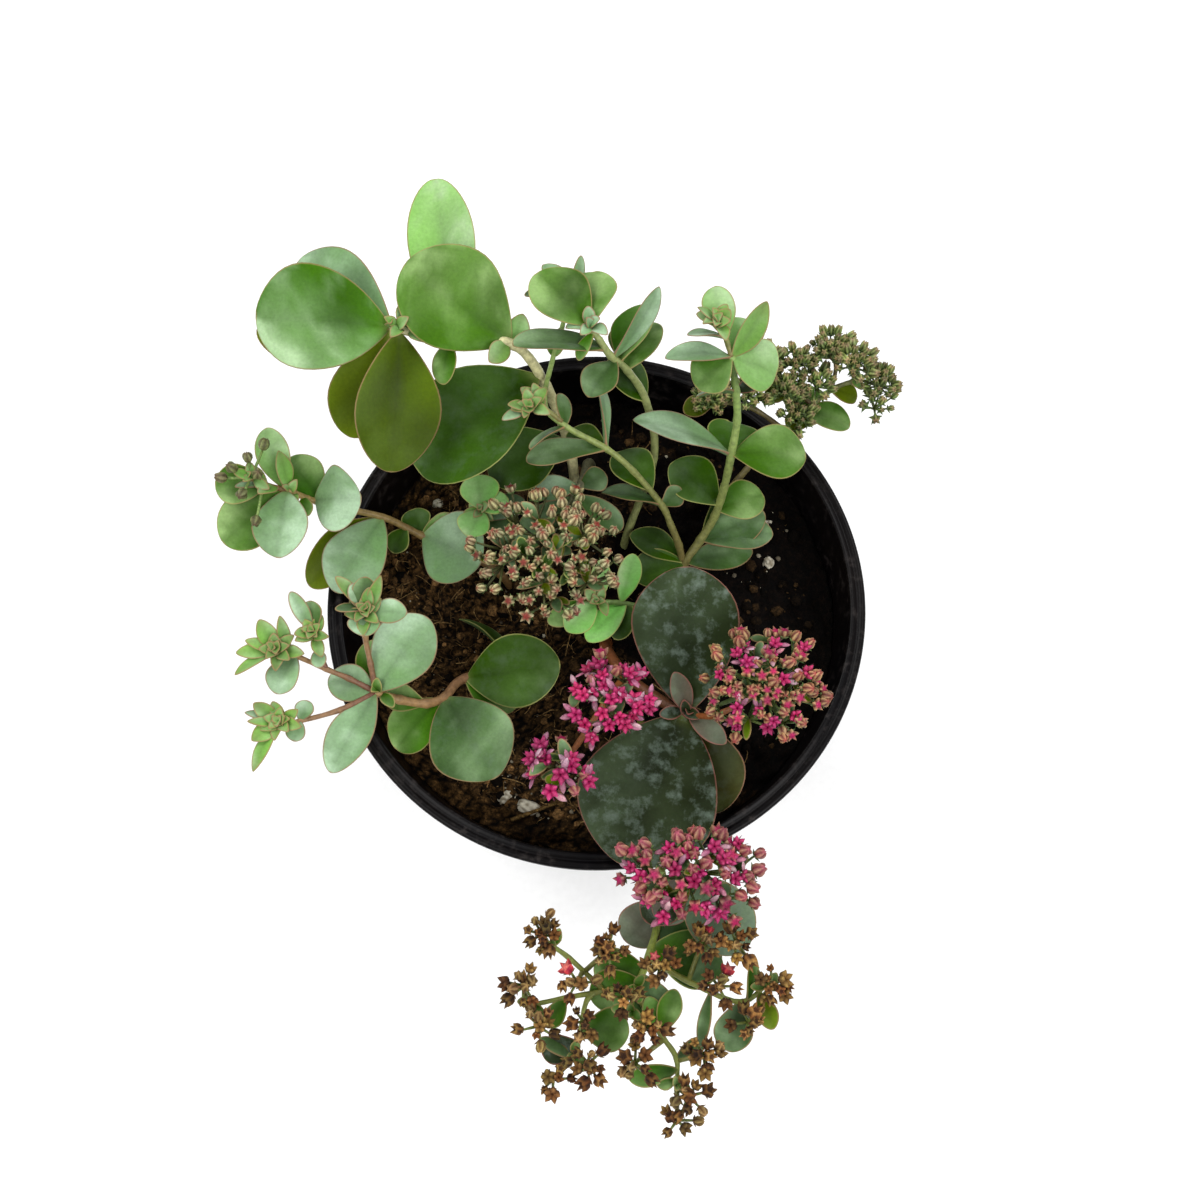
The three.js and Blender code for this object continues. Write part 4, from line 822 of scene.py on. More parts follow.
def leaf_coat(tones, grid, u, v, s, half, length, chance):
    """The colour of every point of some leaves, and three numbers for their skin: how far it is from the
    rim in mm, how marked it is and how red. A painted sheen in the wax's colour grows towards the tip and
    on the half that the letter's case names, and a painted shade darkens the blade along its midrib."""
    kinds = [KINDS[letter.lower()] for letter in tones]
    green = np.array([linear(kind[0]) for kind in kinds])[:, None, None]
    green = green * chance.normal(1, 0.07, (len(grid), 1, 1, 1))
    green = green * chance.normal(1, 0.04, (len(grid), 1, 1, 3))
    wax, painted_sheen, blue, mottle, red, pointed = np.array([kind[1:] for kind in kinds]).T[..., None, None]
    sheen_side = np.array([1.0 if letter.isupper() else -1.0 for letter in tones])[:, None, None]
    # Painted sheen: the blade turns towards the wax colour near its tip and on one half of it.
    sheen = np.clip(0.95 * u - 0.1 + 0.55 * sheen_side * v, 0, 1)
    cloud = np.clip(0.5 + 0.5 * waves(grid, CLOUD, 60) + 0.25 * waves(grid, WISP, 62), 0, 1)
    tone = green * (1 + 0.2 * waves(grid, DRIFT, 61))[..., None]
    share = wax + painted_sheen * (sheen * (0.4 + 0.8 * cloud) + 0.5 * (cloud - 0.6).clip(0))
    tone = blend(tone, blend(linear(GREEN_WAX_SHEEN), linear(BLUE_WAX_SHEEN), blue[..., None]), share[..., None])
    # Painted shade: the blade is darkened along its midrib.
    crease_shade = np.exp(-(v * half / 0.8) ** 2) * np.clip(1.1 - u, 0, 1) ** 0.5
    tone = tone * (1 - 0.25 * crease_shade)[..., None]
    tone = blend(tone, linear(FOOT), (0.6 * np.exp(-(u / 0.06) ** 2) + 0 * v)[..., None])
    tone = blend(tone, linear(BUD_TIP), (pointed * np.clip(u - 0.62, 0, 1) ** 1.3 * 3.2 + 0 * v)[..., None])
    tone = blend(tone, 0.5 * tone + 0.5 * linear(UNDERSIDE), np.clip(-2.5 * s, 0, 1)[..., None])
    rim = np.minimum(half * (1 - np.abs(v)), length * (1 - u))
    return tone, np.stack(np.broadcast_arrays(rim, mottle, red), -1)

print(len(KINDS), "kinds of leaf")

# %% [markdown]
# A stonecrop leaf is a thick pad. Its outline is a narrow neck, the widest place past the middle and a
# round tip. Its section is a lens with a blunt rim, a shallow channel runs along the midrib, the edges
# are lifted, and each one waves a little. Sculpting suits one leaf. A formula over a grid suits them all,
# from the numbers of the tables, and gives each leaf 1 056 triangles.

# %% Leaves
BLADE_CORE, NECK = 1.5, 0.55
USUAL_BOW, USUAL_CUP = 0.06, 0.2
TWIST = 5
CHANNEL, EDGE_WAVE, LONG_WAVE = 0.035, 0.03, 0.012  # shares of the width, the width and the length


def outline(u, pointed=0):
    """Half a leaf's width at u along its midrib, as a share of its half width: sin(pi u^1.25)^0.55 times
    u / (u + 0.04) where it is round, and sin(pi u^0.8)^1.15 where it is pointed."""
    u = np.clip(u, 0, 1)
    broad = np.sin(np.pi * u ** 1.25).clip(0) ** 0.55 * u / (u + 0.04)
    return blend(broad, np.sin(np.pi * u ** 0.8).clip(0) ** 1.15, pointed)


def leaves(path, entries, tones, chance, rows=24, sides=24):
    """Leaves of one stem. With u from root to tip, v from edge to edge and h half the width at u, a point
    is root + midrib L u + side h v + face (bow L 4u(1-u) + cup h v^2 + thickness)."""
    full = np.array([(*entry, *(USUAL_BOW, USUAL_CUP)[len(entry) - 6:])[:8] for entry in entries], float)
    length, width, roll, bow, cup = full.T[3:, :, None, None]
    pointed = np.array([KINDS[letter.lower()][6] for letter in tones])[:, None, None]
    root = along(path, full[:, 0])[:, None, None]
    heading, climb = np.radians(full[:, 1]), np.radians(full[:, 2])
    midrib = np.stack([np.cos(climb) * np.cos(heading), np.cos(climb) * np.sin(heading), np.sin(climb)], -1)
    level = np.stack([-np.sin(heading), np.cos(heading), 0 * heading], -1)
    up = np.cross(midrib, level)[:, None, None]
    midrib, level = midrib[:, None, None], level[:, None, None]
    u = (1 - np.cos(np.pi * np.linspace(0, 1, rows)))[None, :, None] / 2
    angle = 2 * np.pi * np.arange(sides)[None, None] / sides
    v, s = np.cos(angle), np.sin(angle)
    twist = chance.normal(0, TWIST, (len(full), 1, 1))
    tilt = np.radians(roll + twist * (u - 0.4))[..., None]
    side = level * np.cos(tilt) + up * np.sin(tilt)
    face = up * np.cos(tilt) - level * np.sin(tilt)
    phase = chance.uniform(0, 2 * np.pi, (4, len(full), 1, 1))
    ragged = 1 + 0.018 * np.sin(9 * u + phase[0]) + 0.03 * v * np.sin(3 * u + phase[1])
    half = width / 2 * outline(u, pointed) * ragged + NECK * (1 - u) ** 6
    core = BLADE_CORE * (0.7 + length / 80) * (1 - u ** 5).clip(0) ** 0.5 * (1 - 0.35 * u)
    channel = CHANNEL * width * np.exp(-(v * half / 1.2) ** 2) * (1 - u) ** 0.5 * u / (u + 0.05)
    edge_wave = EDGE_WAVE * width * v * np.abs(v) * np.sin(7 * u + phase[2])
    long_wave = LONG_WAVE * length * np.sin(5 * u + phase[3]) * u
    lift = bow * length * 4 * u * (1 - u) + cup * half * (0.6 * v ** 2 + 0.4 * np.abs(v) ** 1.2)
    lift = lift + edge_wave + long_wave + core / 2 * s * np.abs(s) ** 0.35 - channel
    grid = root + midrib * (length * u)[..., None] + side * (half * v)[..., None] + face * lift[..., None]
    grid[:, :1] = root
    grid[:, -1] = grid[:, -1].mean(1, keepdims=True)
    return skin(grid, *leaf_coat(tones, grid, u, v, s, half, length, chance))

print("widest at", np.linspace(0, 1, 101)[outline(np.linspace(0, 1, 101)).argmax()], "of a leaf's length")

# %% [markdown]
# The tip of a shoot is a knot of leaves that have yet to open, each turned 137.5 degrees from the last,
# so that none shades another. They are too small and too many for the tables, so the rule of the real
# plant places them: younger ones are shorter, narrower and steeper.

# %% The youngest leaves
GOLDEN_TURN = 137.5
SMALL = {"rows": 10, "sides": 12}


def tuft(path, count, letter, chance, size):
    """Leaves about a tip. Leaf k is turned 137.5 k degrees and climbs from 12 to 74 degrees."""
    k = np.arange(count)
    share = k / max(count - 1, 1)
    entries = np.stack([
        len(path) - 1 - 0.25 * (1 - share), GOLDEN_TURN * k + chance.uniform(0, 360),
        12 + 62 * share + chance.normal(0, 5, count),
        size * (1.1 - 0.45 * share), size * (0.66 - 0.2 * share),
        chance.normal(0, 8, count), np.full(count, 0.14), np.full(count, 0.5),
    ], -1)
    letters = chance.choice([letter, letter.upper()], count)
    return leaves(path, entries, letters, chance, **SMALL)

# %% [markdown]
# The leaf's skin is wax over green: satin, with a broad soft sheen and a little light passing through the
# pad. Its colour comes from the points, painted sheen and painted shade included. Nodes add only what is
# finer than the grid: cells of about 0.9 mm, the pale marks of 4 to 9 mm where wax is thick on old leaves,
# and the rim, a line under half a millimetre wide that is yellow-green on some leaves and wine red on
# others. A texture painted by hand would do the same for one leaf. The distance from the rim, kept at each
# point, does it for all.

# %% The skin of a leaf
leaf_skin, tree, place = finish_of("waxy stonecrop leaf")
tone = add(tree, "ShaderNodeAttribute", {"attribute_name": "tone"})
spot = add(tree, "ShaderNodeAttribute", {"attribute_name": "spot"}).outputs["Vector"]
rim, marked, red = add(tree, "ShaderNodeSeparateXYZ", Vector=spot).outputs
fine = add(tree, "ShaderNodeTexNoise", Vector=place, Scale=1 / (0.9 * MM), Detail=3.0, Roughness=0.6)
cells = add(tree, "ShaderNodeValToRGB", stops=[(0.3, 0.88), (0.7, 1.08)], Fac=fine)
green = add(tree, "ShaderNodeMix", TIMES, Factor=1.0, A=tone, B=cells)
worn = add(tree, "ShaderNodeTexNoise", Vector=place, Scale=1 / (4.5 * MM), Detail=5.0, Roughness=0.65)
marks = add(tree, "ShaderNodeValToRGB", stops=[(0.49, 0.0), (0.71, 0.74)], Fac=worn)
thick = add(tree, "ShaderNodeMath", PRODUCT, i0=marks, i1=marked)
waxed = add(tree, "ShaderNodeMix", RGB, Factor=thick, A=green, B="#68766a")
near = add(tree, "ShaderNodeMath", PRODUCT, i0=rim, i1=0.25)  # 4 mm to the ramp's end
line = add(tree, "ShaderNodeValToRGB", stops=[(0.03, 0.8), (0.13, 0.0)], Fac=near)
rim_tone = add(tree, "ShaderNodeMix", RGB, Factor=red, A="#a8b464", B="#8e5a50")
edged = add(tree, "ShaderNodeMix", RGB, Factor=line, A=waxed, B=rim_tone)
satin = add(tree, "ShaderNodeTexNoise", Vector=place, Scale=1 / (5 * MM), Detail=2.0)
shine = add(tree, "ShaderNodeValToRGB", stops=[(0.3, 0.34), (0.7, 0.5)], Fac=satin)
skin_relief = add(tree, "ShaderNodeTexNoise", Vector=place, Scale=1 / (1.2 * MM), Detail=3.0)
grained = add(tree, "ShaderNodeBump", Strength=0.2, Distance=0.15 * MM, Height=skin_relief)
shader = add(tree, "ShaderNodeBsdfPrincipled", Base_Color=edged, Roughness=shine, Normal=grained,
             Specular_IOR_Level=0.07, Subsurface_Weight=0.08, Subsurface_Scale=1.0,
             Subsurface_Radius=(0.4 * MM, 0.9 * MM, 0.3 * MM))
add(tree, "ShaderNodeOutputMaterial", Surface=shader)

# %% [markdown]
# A fleshy stem is smooth and faintly ribbed, green where it is young and tan or wine red where it has
# aged. Its colour runs along it at its points, and a noise of 1.3 mm gives the freckles left where leaves
# fell.

# %% The skin of a stem
stem_skin = flecked("fleshy stonecrop stem", (1.3, 4.0, 0.6), [(0.3, 0.6), (0.65, 1.08)], (0.8, 3.0, 0.5),
                    0.35, 0.25, Roughness=0.45, Specular_IOR_Level=0.4, Subsurface_Weight=0.1,
                    Subsurface_Scale=1.0, Subsurface_Radius=(0.6 * MM, 0.5 * MM, 0.3 * MM))

# %% [markdown]
# A stem could be a curve with a bevel. As rings on the smooth line it joins the leaves in the same way of
# working, and it can have the soft collar that a real one has at every joint where leaves stand.

# %% Stalks
SLENDER = 0.84
COLLAR, FLUTES, UNEVEN = 0.16, 0.03, 0.05


def stalk(path, thick, low, high, seed, sides=14, steps=7):
    """A stem: rings about a smooth line. Its radius runs evenly from root to tip, with a soft collar at
    each joint, r (1 + 0.16 exp(-(d / 0.12)^2)), d being the count of places to the nearest joint."""
    last = len(path) - 1
    at = np.linspace(0, last, steps * last + 1)
    places = along(path, at)
    forward = unit(np.gradient(places, axis=0))
    aside = unit(np.cross(forward, (0.3, 0.2, 1.0)))
    for k in range(1, len(aside)):
        aside[k] = unit(aside[k - 1] - forward[k] * (aside[k - 1] @ forward[k]))
    up = np.cross(forward, aside)
    share = at / last
    radius = SLENDER * blend(thick[0], thick[1], share) / 2
    radius = radius * (1 + COLLAR * np.exp(-((at - np.round(at)) / 0.12) ** 2) * (at > 0.5))
    angle = 2 * np.pi * np.arange(sides)[None] / sides
    size = radius[:, None] * (1 + FLUTES * np.cos(5 * angle) + UNEVEN * waves(places, 4, seed)[:, None])
    rings = places[:, None] + aside[:, None] * (size * np.cos(angle))[..., None] \
        + up[:, None] * (size * np.sin(angle))[..., None]
    foot, cap = places[0], places[-1] + forward[-1] * radius[-1]
    foot, cap = (np.broadcast_to(end, (1, sides, 3)) for end in (foot, cap))
    grid = np.concatenate([foot, rings, cap])
    share = np.concatenate([[0], share, [1]])[:, None, None]
    return skin(grid[None], blend(linear(low), linear(high), share)[None])

# %% [markdown]
# Each stem has its own colours and its own tufts, because shoots of different ages share the pot: the
# thick one at the back is pale yellow-green, those at the left are tan, and the flowering one has turned
# orange brown.

# %% Grow the stems
STALK_TONES = {
    "stem_back_left": ("#ccc490", "#ccc898"), "stem_back_middle": ("#8c9058", "#98a468"),
    "stem_forked": ("#7c6c40", "#8cab5c"), "spray_back_right": ("#6a5636", "#6c7040"),
    "stem_left": ("#6a4c2c", "#98824c"), "stem_front_left": ("#6c4436", "#a88656"),
    "shoot_rosette": ("#6a7244", "#7c9a54"), "shoot_middle": ("#5a6634", "#7c9a54"),
    "stem_middle": ("#4c4832", "#7c7c5c"), "stem_front": ("#8c4c1c", "#6a4630"),
    "spray_trailing": ("#6c6c2e", "#84923e"),
}
TUFTS = {
    "stem_back_left": [(6, "y", 7)], "stem_back_middle": [(6, "p", 7)],
    "stem_forked": [(0, "y", 1), (9, "y", 6.5), (7, "p", 6), (9, "y", 6.5)],
    "spray_back_right": [(4, "y", 4)] * 4, "stem_left": [(3, "y", 5.5), (4, "y", 5.5)],
    "stem_front_left": [(3, "b", 6), (13, "y", 6.5), (14, "y", 6.5), (14, "y", 6.5), (11, "y", 6)],
    "shoot_rosette": [(7, "y", 5.5)], "shoot_middle": [(7, "y", 5.5)], "stem_middle": [(5, "g", 7)],
    "stem_front": [(4, "v", 7), (5, "g", 6), (5, "g", 6), (4, "g", 5), (4, "g", 5)],
    "spray_trailing": [(4, "b", 5)] * 7,
}
SLOTS = {
    "stem_back_left": "leaf_bright", "spray_back_right": "bud_green", "stem_front": "leaf_dark",
    "spray_trailing": "dry_spray",
}

for number, (name, shoots) in enumerate(STEMS.items()):
    chance = np.random.default_rng(100 + number)
    slot = SLOTS.get(name, "leaf_pale")
    stalks = [stalk(path, thick, *STALK_TONES[name], 200 + number) for path, thick, _, _ in shoots]
    blades = [leaves(path, entries, tones, chance) for path, _, tones, entries in shoots if entries]
    for (path, *_), (count, letter, size) in zip(shoots, TUFTS[name]):
        if count:
            blades.append(tuft(path, count, letter, chance, size))
    piece(name + "_stalk", stalks, stem_skin, slot, name)
    piece(name + "_leaves", blades, leaf_skin, slot, name)

# %% [markdown]
# ## The flowers
# A flower is a few millimetres wide, so its parts are made once, small and simple, and set many times.
# Petals and seed pods are pointed blades in a ring. Each is a skin whose spine is bent to an arc, so one
# formula gives a flat petal, an upright pod and everything between.

# %% Blades in a ring
def whorl(count, profile, length, width, thick, start, rise, curl, sides=6, lift=0.0):
    """Pointed blades or pods in a ring. The spine starts at a radius and climbs at an angle that changes
    by curl along it, so x = start + L (sin a - sin rise) / curl and z = L (cos rise - cos a) / curl. Its
    section is an oval, width by thick, times the profile. The shares are of the body, the outer side and
    the tip."""
    t = np.linspace(0, 1, len(profile))[None, :, None]
    size = np.array(profile, float)[None, :, None] / 2
    low, bent = math.radians(rise), math.radians(curl)
    slope = low + bent * t
    angle = 2 * np.pi * np.arange(sides)[None, None] / sides
    v, s = np.cos(angle), np.sin(angle)
    x = start + length * (np.sin(slope) - math.sin(low)) / bent - np.sin(slope) * size * thick * s
    z = lift + length * (math.cos(low) - np.cos(slope)) / bent + np.cos(slope) * size * thick * s
    y = size * width * v + 0 * x
    turn = (2 * np.pi * np.arange(count) / count)[:, None, None]
    aside, ahead = x * np.cos(turn) - y * np.sin(turn), x * np.sin(turn) + y * np.cos(turn)
    outer = (0.5 - 0.5 * s) * (1 - t ** 3) + 0 * y
    tip = t ** 3 + 0 * outer
    shares = np.stack([1 - outer - tip, outer, tip], -1)
    return skin(np.stack([aside, ahead, z + 0 * aside], -1), np.broadcast_to(shares, (*aside.shape, 3)))

# %% [markdown]
# Buds, dry seed cups and sepals are all five-sided rings about one axis: a bud closes over, a cup stays
# open with a ragged rim and a dark inside, and sepals are a shallow star. A table of radius, height, fold
# and jag for each ring gives any of them in some fifty faces.

# %% Five-sided rings
def folded(rings, sides=10):
    """A small body of revolution with five folds. A ring of radius r, height h, fold f and jag j has its
    points at r (1 + f cos 5a) and h + j cos 5a. The shares are of the ridges, the seams between them and
    the tip. A tip share of -1 is all seam, as the dark inside of a cup is."""
    radius, height, fold, jag, tip = np.array(rings, float).T[:, None, :, None]
    angle = 2 * np.pi * np.arange(sides)[None, None] / sides
    lobe = np.cos(5 * angle)
    size = radius * (1 + fold * lobe)
    grid = np.stack([size * np.cos(angle), size * np.sin(angle), height + jag * lobe], -1)
    seam = (0.5 - 0.5 * lobe) * (1 - np.abs(tip)) + (-tip).clip(0)
    tips = tip.clip(0) + 0 * seam
    return skin(grid, np.stack([1 - seam - tips, seam, tips], -1))


BUD = folded([
    (0, 0, 0, 0, 0), (1.0, 0.4, 0.05, 0, 0), (1.6, 1.4, 0.12, 0, 0), (1.6, 2.5, 0.16, 0, 0),
    (1.15, 3.4, 0.24, 0.1, 0.1), (0.5, 4.0, 0.3, 0.15, 0.6), (0, 3.9, 0, 0, 1),
])
SMALL_BUD = folded([
    (0, 0, 0, 0, 0), (0.7, 0.4, 0.1, 0, 0), (1.05, 1.2, 0.2, 0, 0), (0.85, 2.2, 0.3, 0.1, 0.1),
    (0.5, 3.0, 0.35, 0.25, 0.7), (0, 2.7, 0, 0, -1),
])
HALF_OPEN = folded([
    (0, 0, 0, 0, 0), (1.1, 0.5, 0.1, 0, 0), (1.75, 1.6, 0.2, 0, 0), (1.75, 2.7, 0.32, 0.3, 0),
    (1.0, 2.5, 0.3, 0.2, 0.8), (0.5, 2.9, 0.2, 0, 1), (0, 2.6, 0, 0, 1),
])
SEED_CUP = folded([
    (0, 0, 0, 0, 0), (0.9, 0.3, 0.08, 0, 0), (1.6, 1.2, 0.14, 0, 0), (1.7, 2.4, 0.2, 0.1, 0),
    (1.25, 3.5, 0.34, 0.7, 0.6), (0.75, 3.3, 0.3, 0.2, -0.6), (0, 2.7, 0, 0, -0.8),
])
SEPALS = folded([(0, -0.3, 0, 0, 0), (0.9, 0, 0.2, 0, 0), (1.7, 0.8, 0.4, 0.35, 0.3), (0, 0.5, 0, 0, 0)])
PETAL = whorl(1, [0, 0.55, 0.9, 1, 0.7, 0], 4.6, 1.8, 0.4, 0.6, 22, -20, lift=0.5)
PODS = whorl(5, [0, 1, 0.95, 0.55, 0], 3.2, 2.1, 1.9, 0.5, 68, -24, sides=5)
STAMENS = whorl(5, [0, 0.6, 1, 0], 3.4, 0.3, 0.35, 0.8, 52, 12, sides=4)
print("a bud has", len(BUD["quads"]) + len(BUD["triangles"]), "faces")

# %% [markdown]
# Setting a small shape some hundred times could be done with instances, but the exported model wants
# plain meshes. Here its points are multiplied out as plain meshes in one array: each copy stands on its
# place, points its own way, and mixes its own three colours by the shares of the shape's points.

# %% Copies
def copies(shape, places, ways, sizes, colours, chance):
    """Copies of a small shape: each stands on its place, points along its way, is spun and is scaled."""
    count, step = len(places), len(shape["points"])
    up = unit(ways)
    spin = chance.uniform(0, 2 * np.pi, count)
    across = unit(np.cross(np.stack([np.cos(spin), np.sin(spin), np.full(count, 0.2)], -1), up))
    axes = np.stack([across, np.cross(up, across), up], 1)
    points = np.einsum("pk,nkj->npj", shape["points"], axes) * sizes[:, None, None] + places[:, None]
    offset = step * np.arange(count)[:, None, None]
    return {
        "points": points.reshape(-1, 3),
        "quads": (shape["quads"][None] + offset).reshape(-1, 4),
        "triangles": (shape["triangles"][None] + offset).reshape(-1, 3),
        "tone": np.einsum("pk,nkj->npj", shape["tone"], colours).reshape(-1, 3),
        "spot": np.zeros((count * step, 3)),
    }


def coloured(count, names, chance, spread=0.14):
    """Three colours a copy, each copy a little lighter or darker than the next."""
    base = np.array([linear(name) for name in names])
    lighter = chance.normal(1, spread, (count, 1, 1)).clip(0.5, 1.6)
    return base[None] * lighter * chance.normal(1, 0.05, (count, 1, 3))

# %% [markdown]
# Petals and pods are soft and matt with a faint glisten of cells. Closed buds are firmer, and their seams
# are darker than their ridges. Dry heads are papery, wrinkled and quite matt, and let no light through.
# The three finishes differ only in how rough, how grained and how glowing they are, so one cell makes all
# three.

# %% The finishes of the flowers
FLOWER_FINISHES = {
    # name: roughness, grain in mm, depth of its relief in mm, share of light that passes through
    "stonecrop petal": (0.5, 0.7, 0.1, 0.15),
    "stonecrop bud": (0.55, 0.6, 0.15, 0.06),
    "dry papery seed head": (0.9, 0.5, 0.25, 0.0),
}
flower_skins = []
for name, (matt, size, depth, glow) in FLOWER_FINISHES.items():
    wrinkles = (size, 3.0, 0.6)
    flower_skins.append(flecked(name, wrinkles, [(0.3, 0.62), (0.7, 1.25)], wrinkles, 0.4, depth,
                                Roughness=matt, Specular_IOR_Level=0.3, Subsurface_Weight=glow,
                                Subsurface_Scale=1.0, Subsurface_Radius=(0.8 * MM, 0.3 * MM, 0.4 * MM)))
petal_skin, bud_skin, dry_skin = flower_skins
print(len(flower_skins), "finishes for flowers")

# %% [markdown]
# A flower head is a low dome, its flowers spread as evenly as seeds in a sunflower. Chance places would
# leave holes and clumps. The sunflower's rule, a turn of 137.5 degrees and a radius that grows with the
# root of the count, doesn't. Under them a stalk runs to each hub, and a ray from the nearest hub to each
# flower.

# %% Places on a head
MAIN_RAY, FINE_RAY = (0.8, 0.55), (0.5, 0.32)  # radius in mm at foot and top
LEAN, JITTER = 0.9, 0.7


def dome(centre, half_length, half_width, depth, count, chance):
    """Places on a low dome and the way each flower leans: flower k is at radius (k/n)^0.5, turned 137.5 k
    degrees, and leans outwards, more so towards the rim."""
    k = np.arange(count)
    share = ((k + 0.5) / count) ** 0.5 * chance.normal(1, 0.05, count)
    angle = math.radians(GOLDEN_TURN) * k + chance.normal(0, 0.2, count)
    x, y = share * np.cos(angle), share * np.sin(angle)
    height = depth * (1 - 0.8 * share ** 2).clip(0.05) ** 0.5
    places = np.stack([half_length * x, half_width * y, height], -1)
    ways = np.stack([LEAN * x, LEAN * y, np.ones(count)], -1) + chance.normal(0, 0.2, (count, 3))
    return places + np.array(centre) + chance.normal(0, JITTER, (count, 3)) * (1, 1, 1.2), ways


def rays(root, hubs, places, low, high, chance):
    """The stalks under a head: one from its stem to each hub, and one from the nearest hub to each
    flower."""
    near = hubs[np.linalg.norm(places[:, None] - hubs[None], axis=-1).argmin(1)]
    low, high = linear(low), linear(high)
    starts = np.broadcast_to(root, hubs.shape)
    main = rods(starts, hubs, MAIN_RAY, low, (hubs - root) * (0.1, 0.1, -0.12), rows=7, sides=6)
    tone = blend(low, high, chance.uniform(0.3, 1, (len(places), 1)))
    fine = rods(near, places, FINE_RAY, tone, (places - near) * (0.08, 0.08, -0.1), rows=5)
    return [main, fine]

# %% [markdown]
# The heads are of different ages. In the two at the left most flowers have opened: each is a knob of five
# pointed magenta pods with up to three mauve petals still on it. The one over the rim is half open, the
# one at the right is mostly tan buds with red seams, and the green and brown one in the middle has yet to
# open. So a head is two shares, of open and of half-open flowers, and the colours of its buds. Its spread
# is the middle, half length, half width and height of a dome, and how many flowers stand on it.

# %% The kinds of head
CRIMSON = ("#a0124e", "#4c0622", "#c03c72")
MAUVE = ("#9a5672", "#6f2f4c", "#b98494")
PALE_MAUVE = ("#b08292", "#8a5068", "#c4a4ac")
TAN = ("#b09264", "#540c1a", "#983e3c")
BLUSH = ("#a67a62", "#6c1a30", "#a0485a")
OLIVE = ("#bcb486", "#504024", "#7e2a20")
LEAF_GREEN = ("#4c6030", "#394a24", "#6c7c44")
THREADS = ("#8a4460", "#6c3048", "#40141e")
GREEN_STALK, TAN_STALK = ("#4a5a2a", "#5c6c34"), ("#5a5c34", "#6c6040")
HEADS = {
    "head_middle": dict(spread=((-14, 6, 183.5), 20, 20, 7.5, 108), opened=0.0, half_open=0.3, bud=OLIVE,
                        root=(-14, 8, 183), stalk=("#3f4226", "#55582f"), bracts=44, size=0.82,
                        slot="bud_green"),
    "head_right": dict(spread=((46, -35, 190.5), 16.5, 15, 7.5, 92), opened=0.22, half_open=0.34, bud=TAN,
                       root=(46, -35, 189), stalk=GREEN_STALK, bracts=12, size=0.86, slot="floret_pink"),
    "head_front": dict(spread=((25, -86, 190.5), 18, 11.5, 6.5, 66), opened=0.45, half_open=0.2, bud=BLUSH,
                       root=(25, -86, 189), stalk=GREEN_STALK, bracts=12, size=0.94, slot="floret_pink"),
    "head_left": dict(spread=((4, -38, 189), 11.5, 11, 5, 29), opened=0.82, half_open=0.1, bud=BLUSH,
                      root=(3, -38, 185), stalk=TAN_STALK, bracts=6, size=0.95, slot="floret_pink"),
    "head_left_small": dict(spread=((-10, -57.5, 187), 8, 7.5, 4, 15), opened=0.6, half_open=0.15,
                            bud=BLUSH, root=(-10, -57, 184), stalk=TAN_STALK, bracts=5, size=0.95,
                            slot="floret_pink"),
}
print(sum(head["spread"][-1] for head in HEADS.values()), "flowers on", len(HEADS), "heads")

# %% [markdown]
# With its kinds and places known, a head is put together by choosing for each place what stands there.
# The small leaves under the flowers hide the hubs, as bracts do on the plant.

# %% The round heads
BRACT_LENGTH, BRACT_WIDTH = (4.5, 8.5), (2.2, 4.2)


def flower_head(name, spread, opened, half_open, bud, root, stalk, bracts, size, slot, seed):
    """One head: buds, half-open and open flowers on hubs and rays, with a few small leaves under them."""
    chance = np.random.default_rng(seed)
    centre, half_length, half_width, depth, count = spread
    places, ways = dome(centre, half_length, half_width, depth, count, chance)
    low = np.array(centre) - (0, 0, 3.5)
    hubs, _ = dome(low, half_length * 0.75, half_width * 0.75, depth, max(5, count // 7), chance)
    age = chance.uniform(0, 1, count)
    star, shut = age < opened, age >= opened + half_open
    part = ~star & ~shut
    sizes = size * chance.normal(1, 0.1, count).clip(0.75, 1.25)

    def set_out(shape, which, names, scale=1.0):
        tones = coloured(which.sum(), names, chance)
        return copies(shape, places[which], ways[which], sizes[which] * scale, tones, chance)

    living = [set_out(PODS, star, CRIMSON), set_out(STAMENS, star, THREADS)]
    for names in (MAUVE, MAUVE, PALE_MAUVE):
        living.append(set_out(PETAL, star & (chance.uniform(0, 1, count) < 0.6), names))
    heart = CRIMSON[0] if opened else bud[2]
    budding = [set_out(HALF_OPEN, part, (bud[0], bud[1], heart)), set_out(BUD, shut, bud)]
    budding += [set_out(SEPALS, age >= 0, LEAF_GREEN)]
    budding += rays(np.array(root, float), hubs, places, *stalk, chance)
    entries = np.stack([
        np.arange(bracts) % len(hubs), chance.uniform(0, 360, bracts), chance.uniform(0, 45, bracts),
        chance.uniform(*BRACT_LENGTH, bracts), chance.uniform(*BRACT_WIDTH, bracts),
        chance.normal(0, 15, bracts), np.full(bracts, 0.1), np.full(bracts, 0.4),
    ], -1)
    letters = "".join(chance.choice(list("gdgo"), bracts))
    small_leaves = leaves(hubs, entries, letters, chance, **SMALL)
    piece(name + "_buds", budding, bud_skin, slot, name)
    if opened:
        piece(name + "_flowers", living, petal_skin, slot, name)
    piece(name + "_bracts", [small_leaves], leaf_skin, slot, name)


for number, (name, head) in enumerate(HEADS.items()):
    flower_head(name, **head, seed=300 + number)

# %% [markdown]
# ## The sprays
# A spray is looser than a head: twigs fork from the stems to small clusters, each on its own hub. Where a
# twig leaves a stem isn't in any table. The nearest place on the stems' smooth lines is where a plant
# would send it from, so that is worked out for every cluster.

# %% Twigs and clusters
def nearest_places(shoots, targets):
    """For each target, the place on the smooth lines of a spray's stems that lies nearest."""
    lines = np.concatenate([along(path, np.linspace(0, len(path) - 1, 60)) for path, *_ in shoots])
    lines = lines[lines[:, 2] > SOIL_TOP + 5]
    return lines[np.linalg.norm(targets[:, None] - lines[None], axis=-1).argmin(1)]


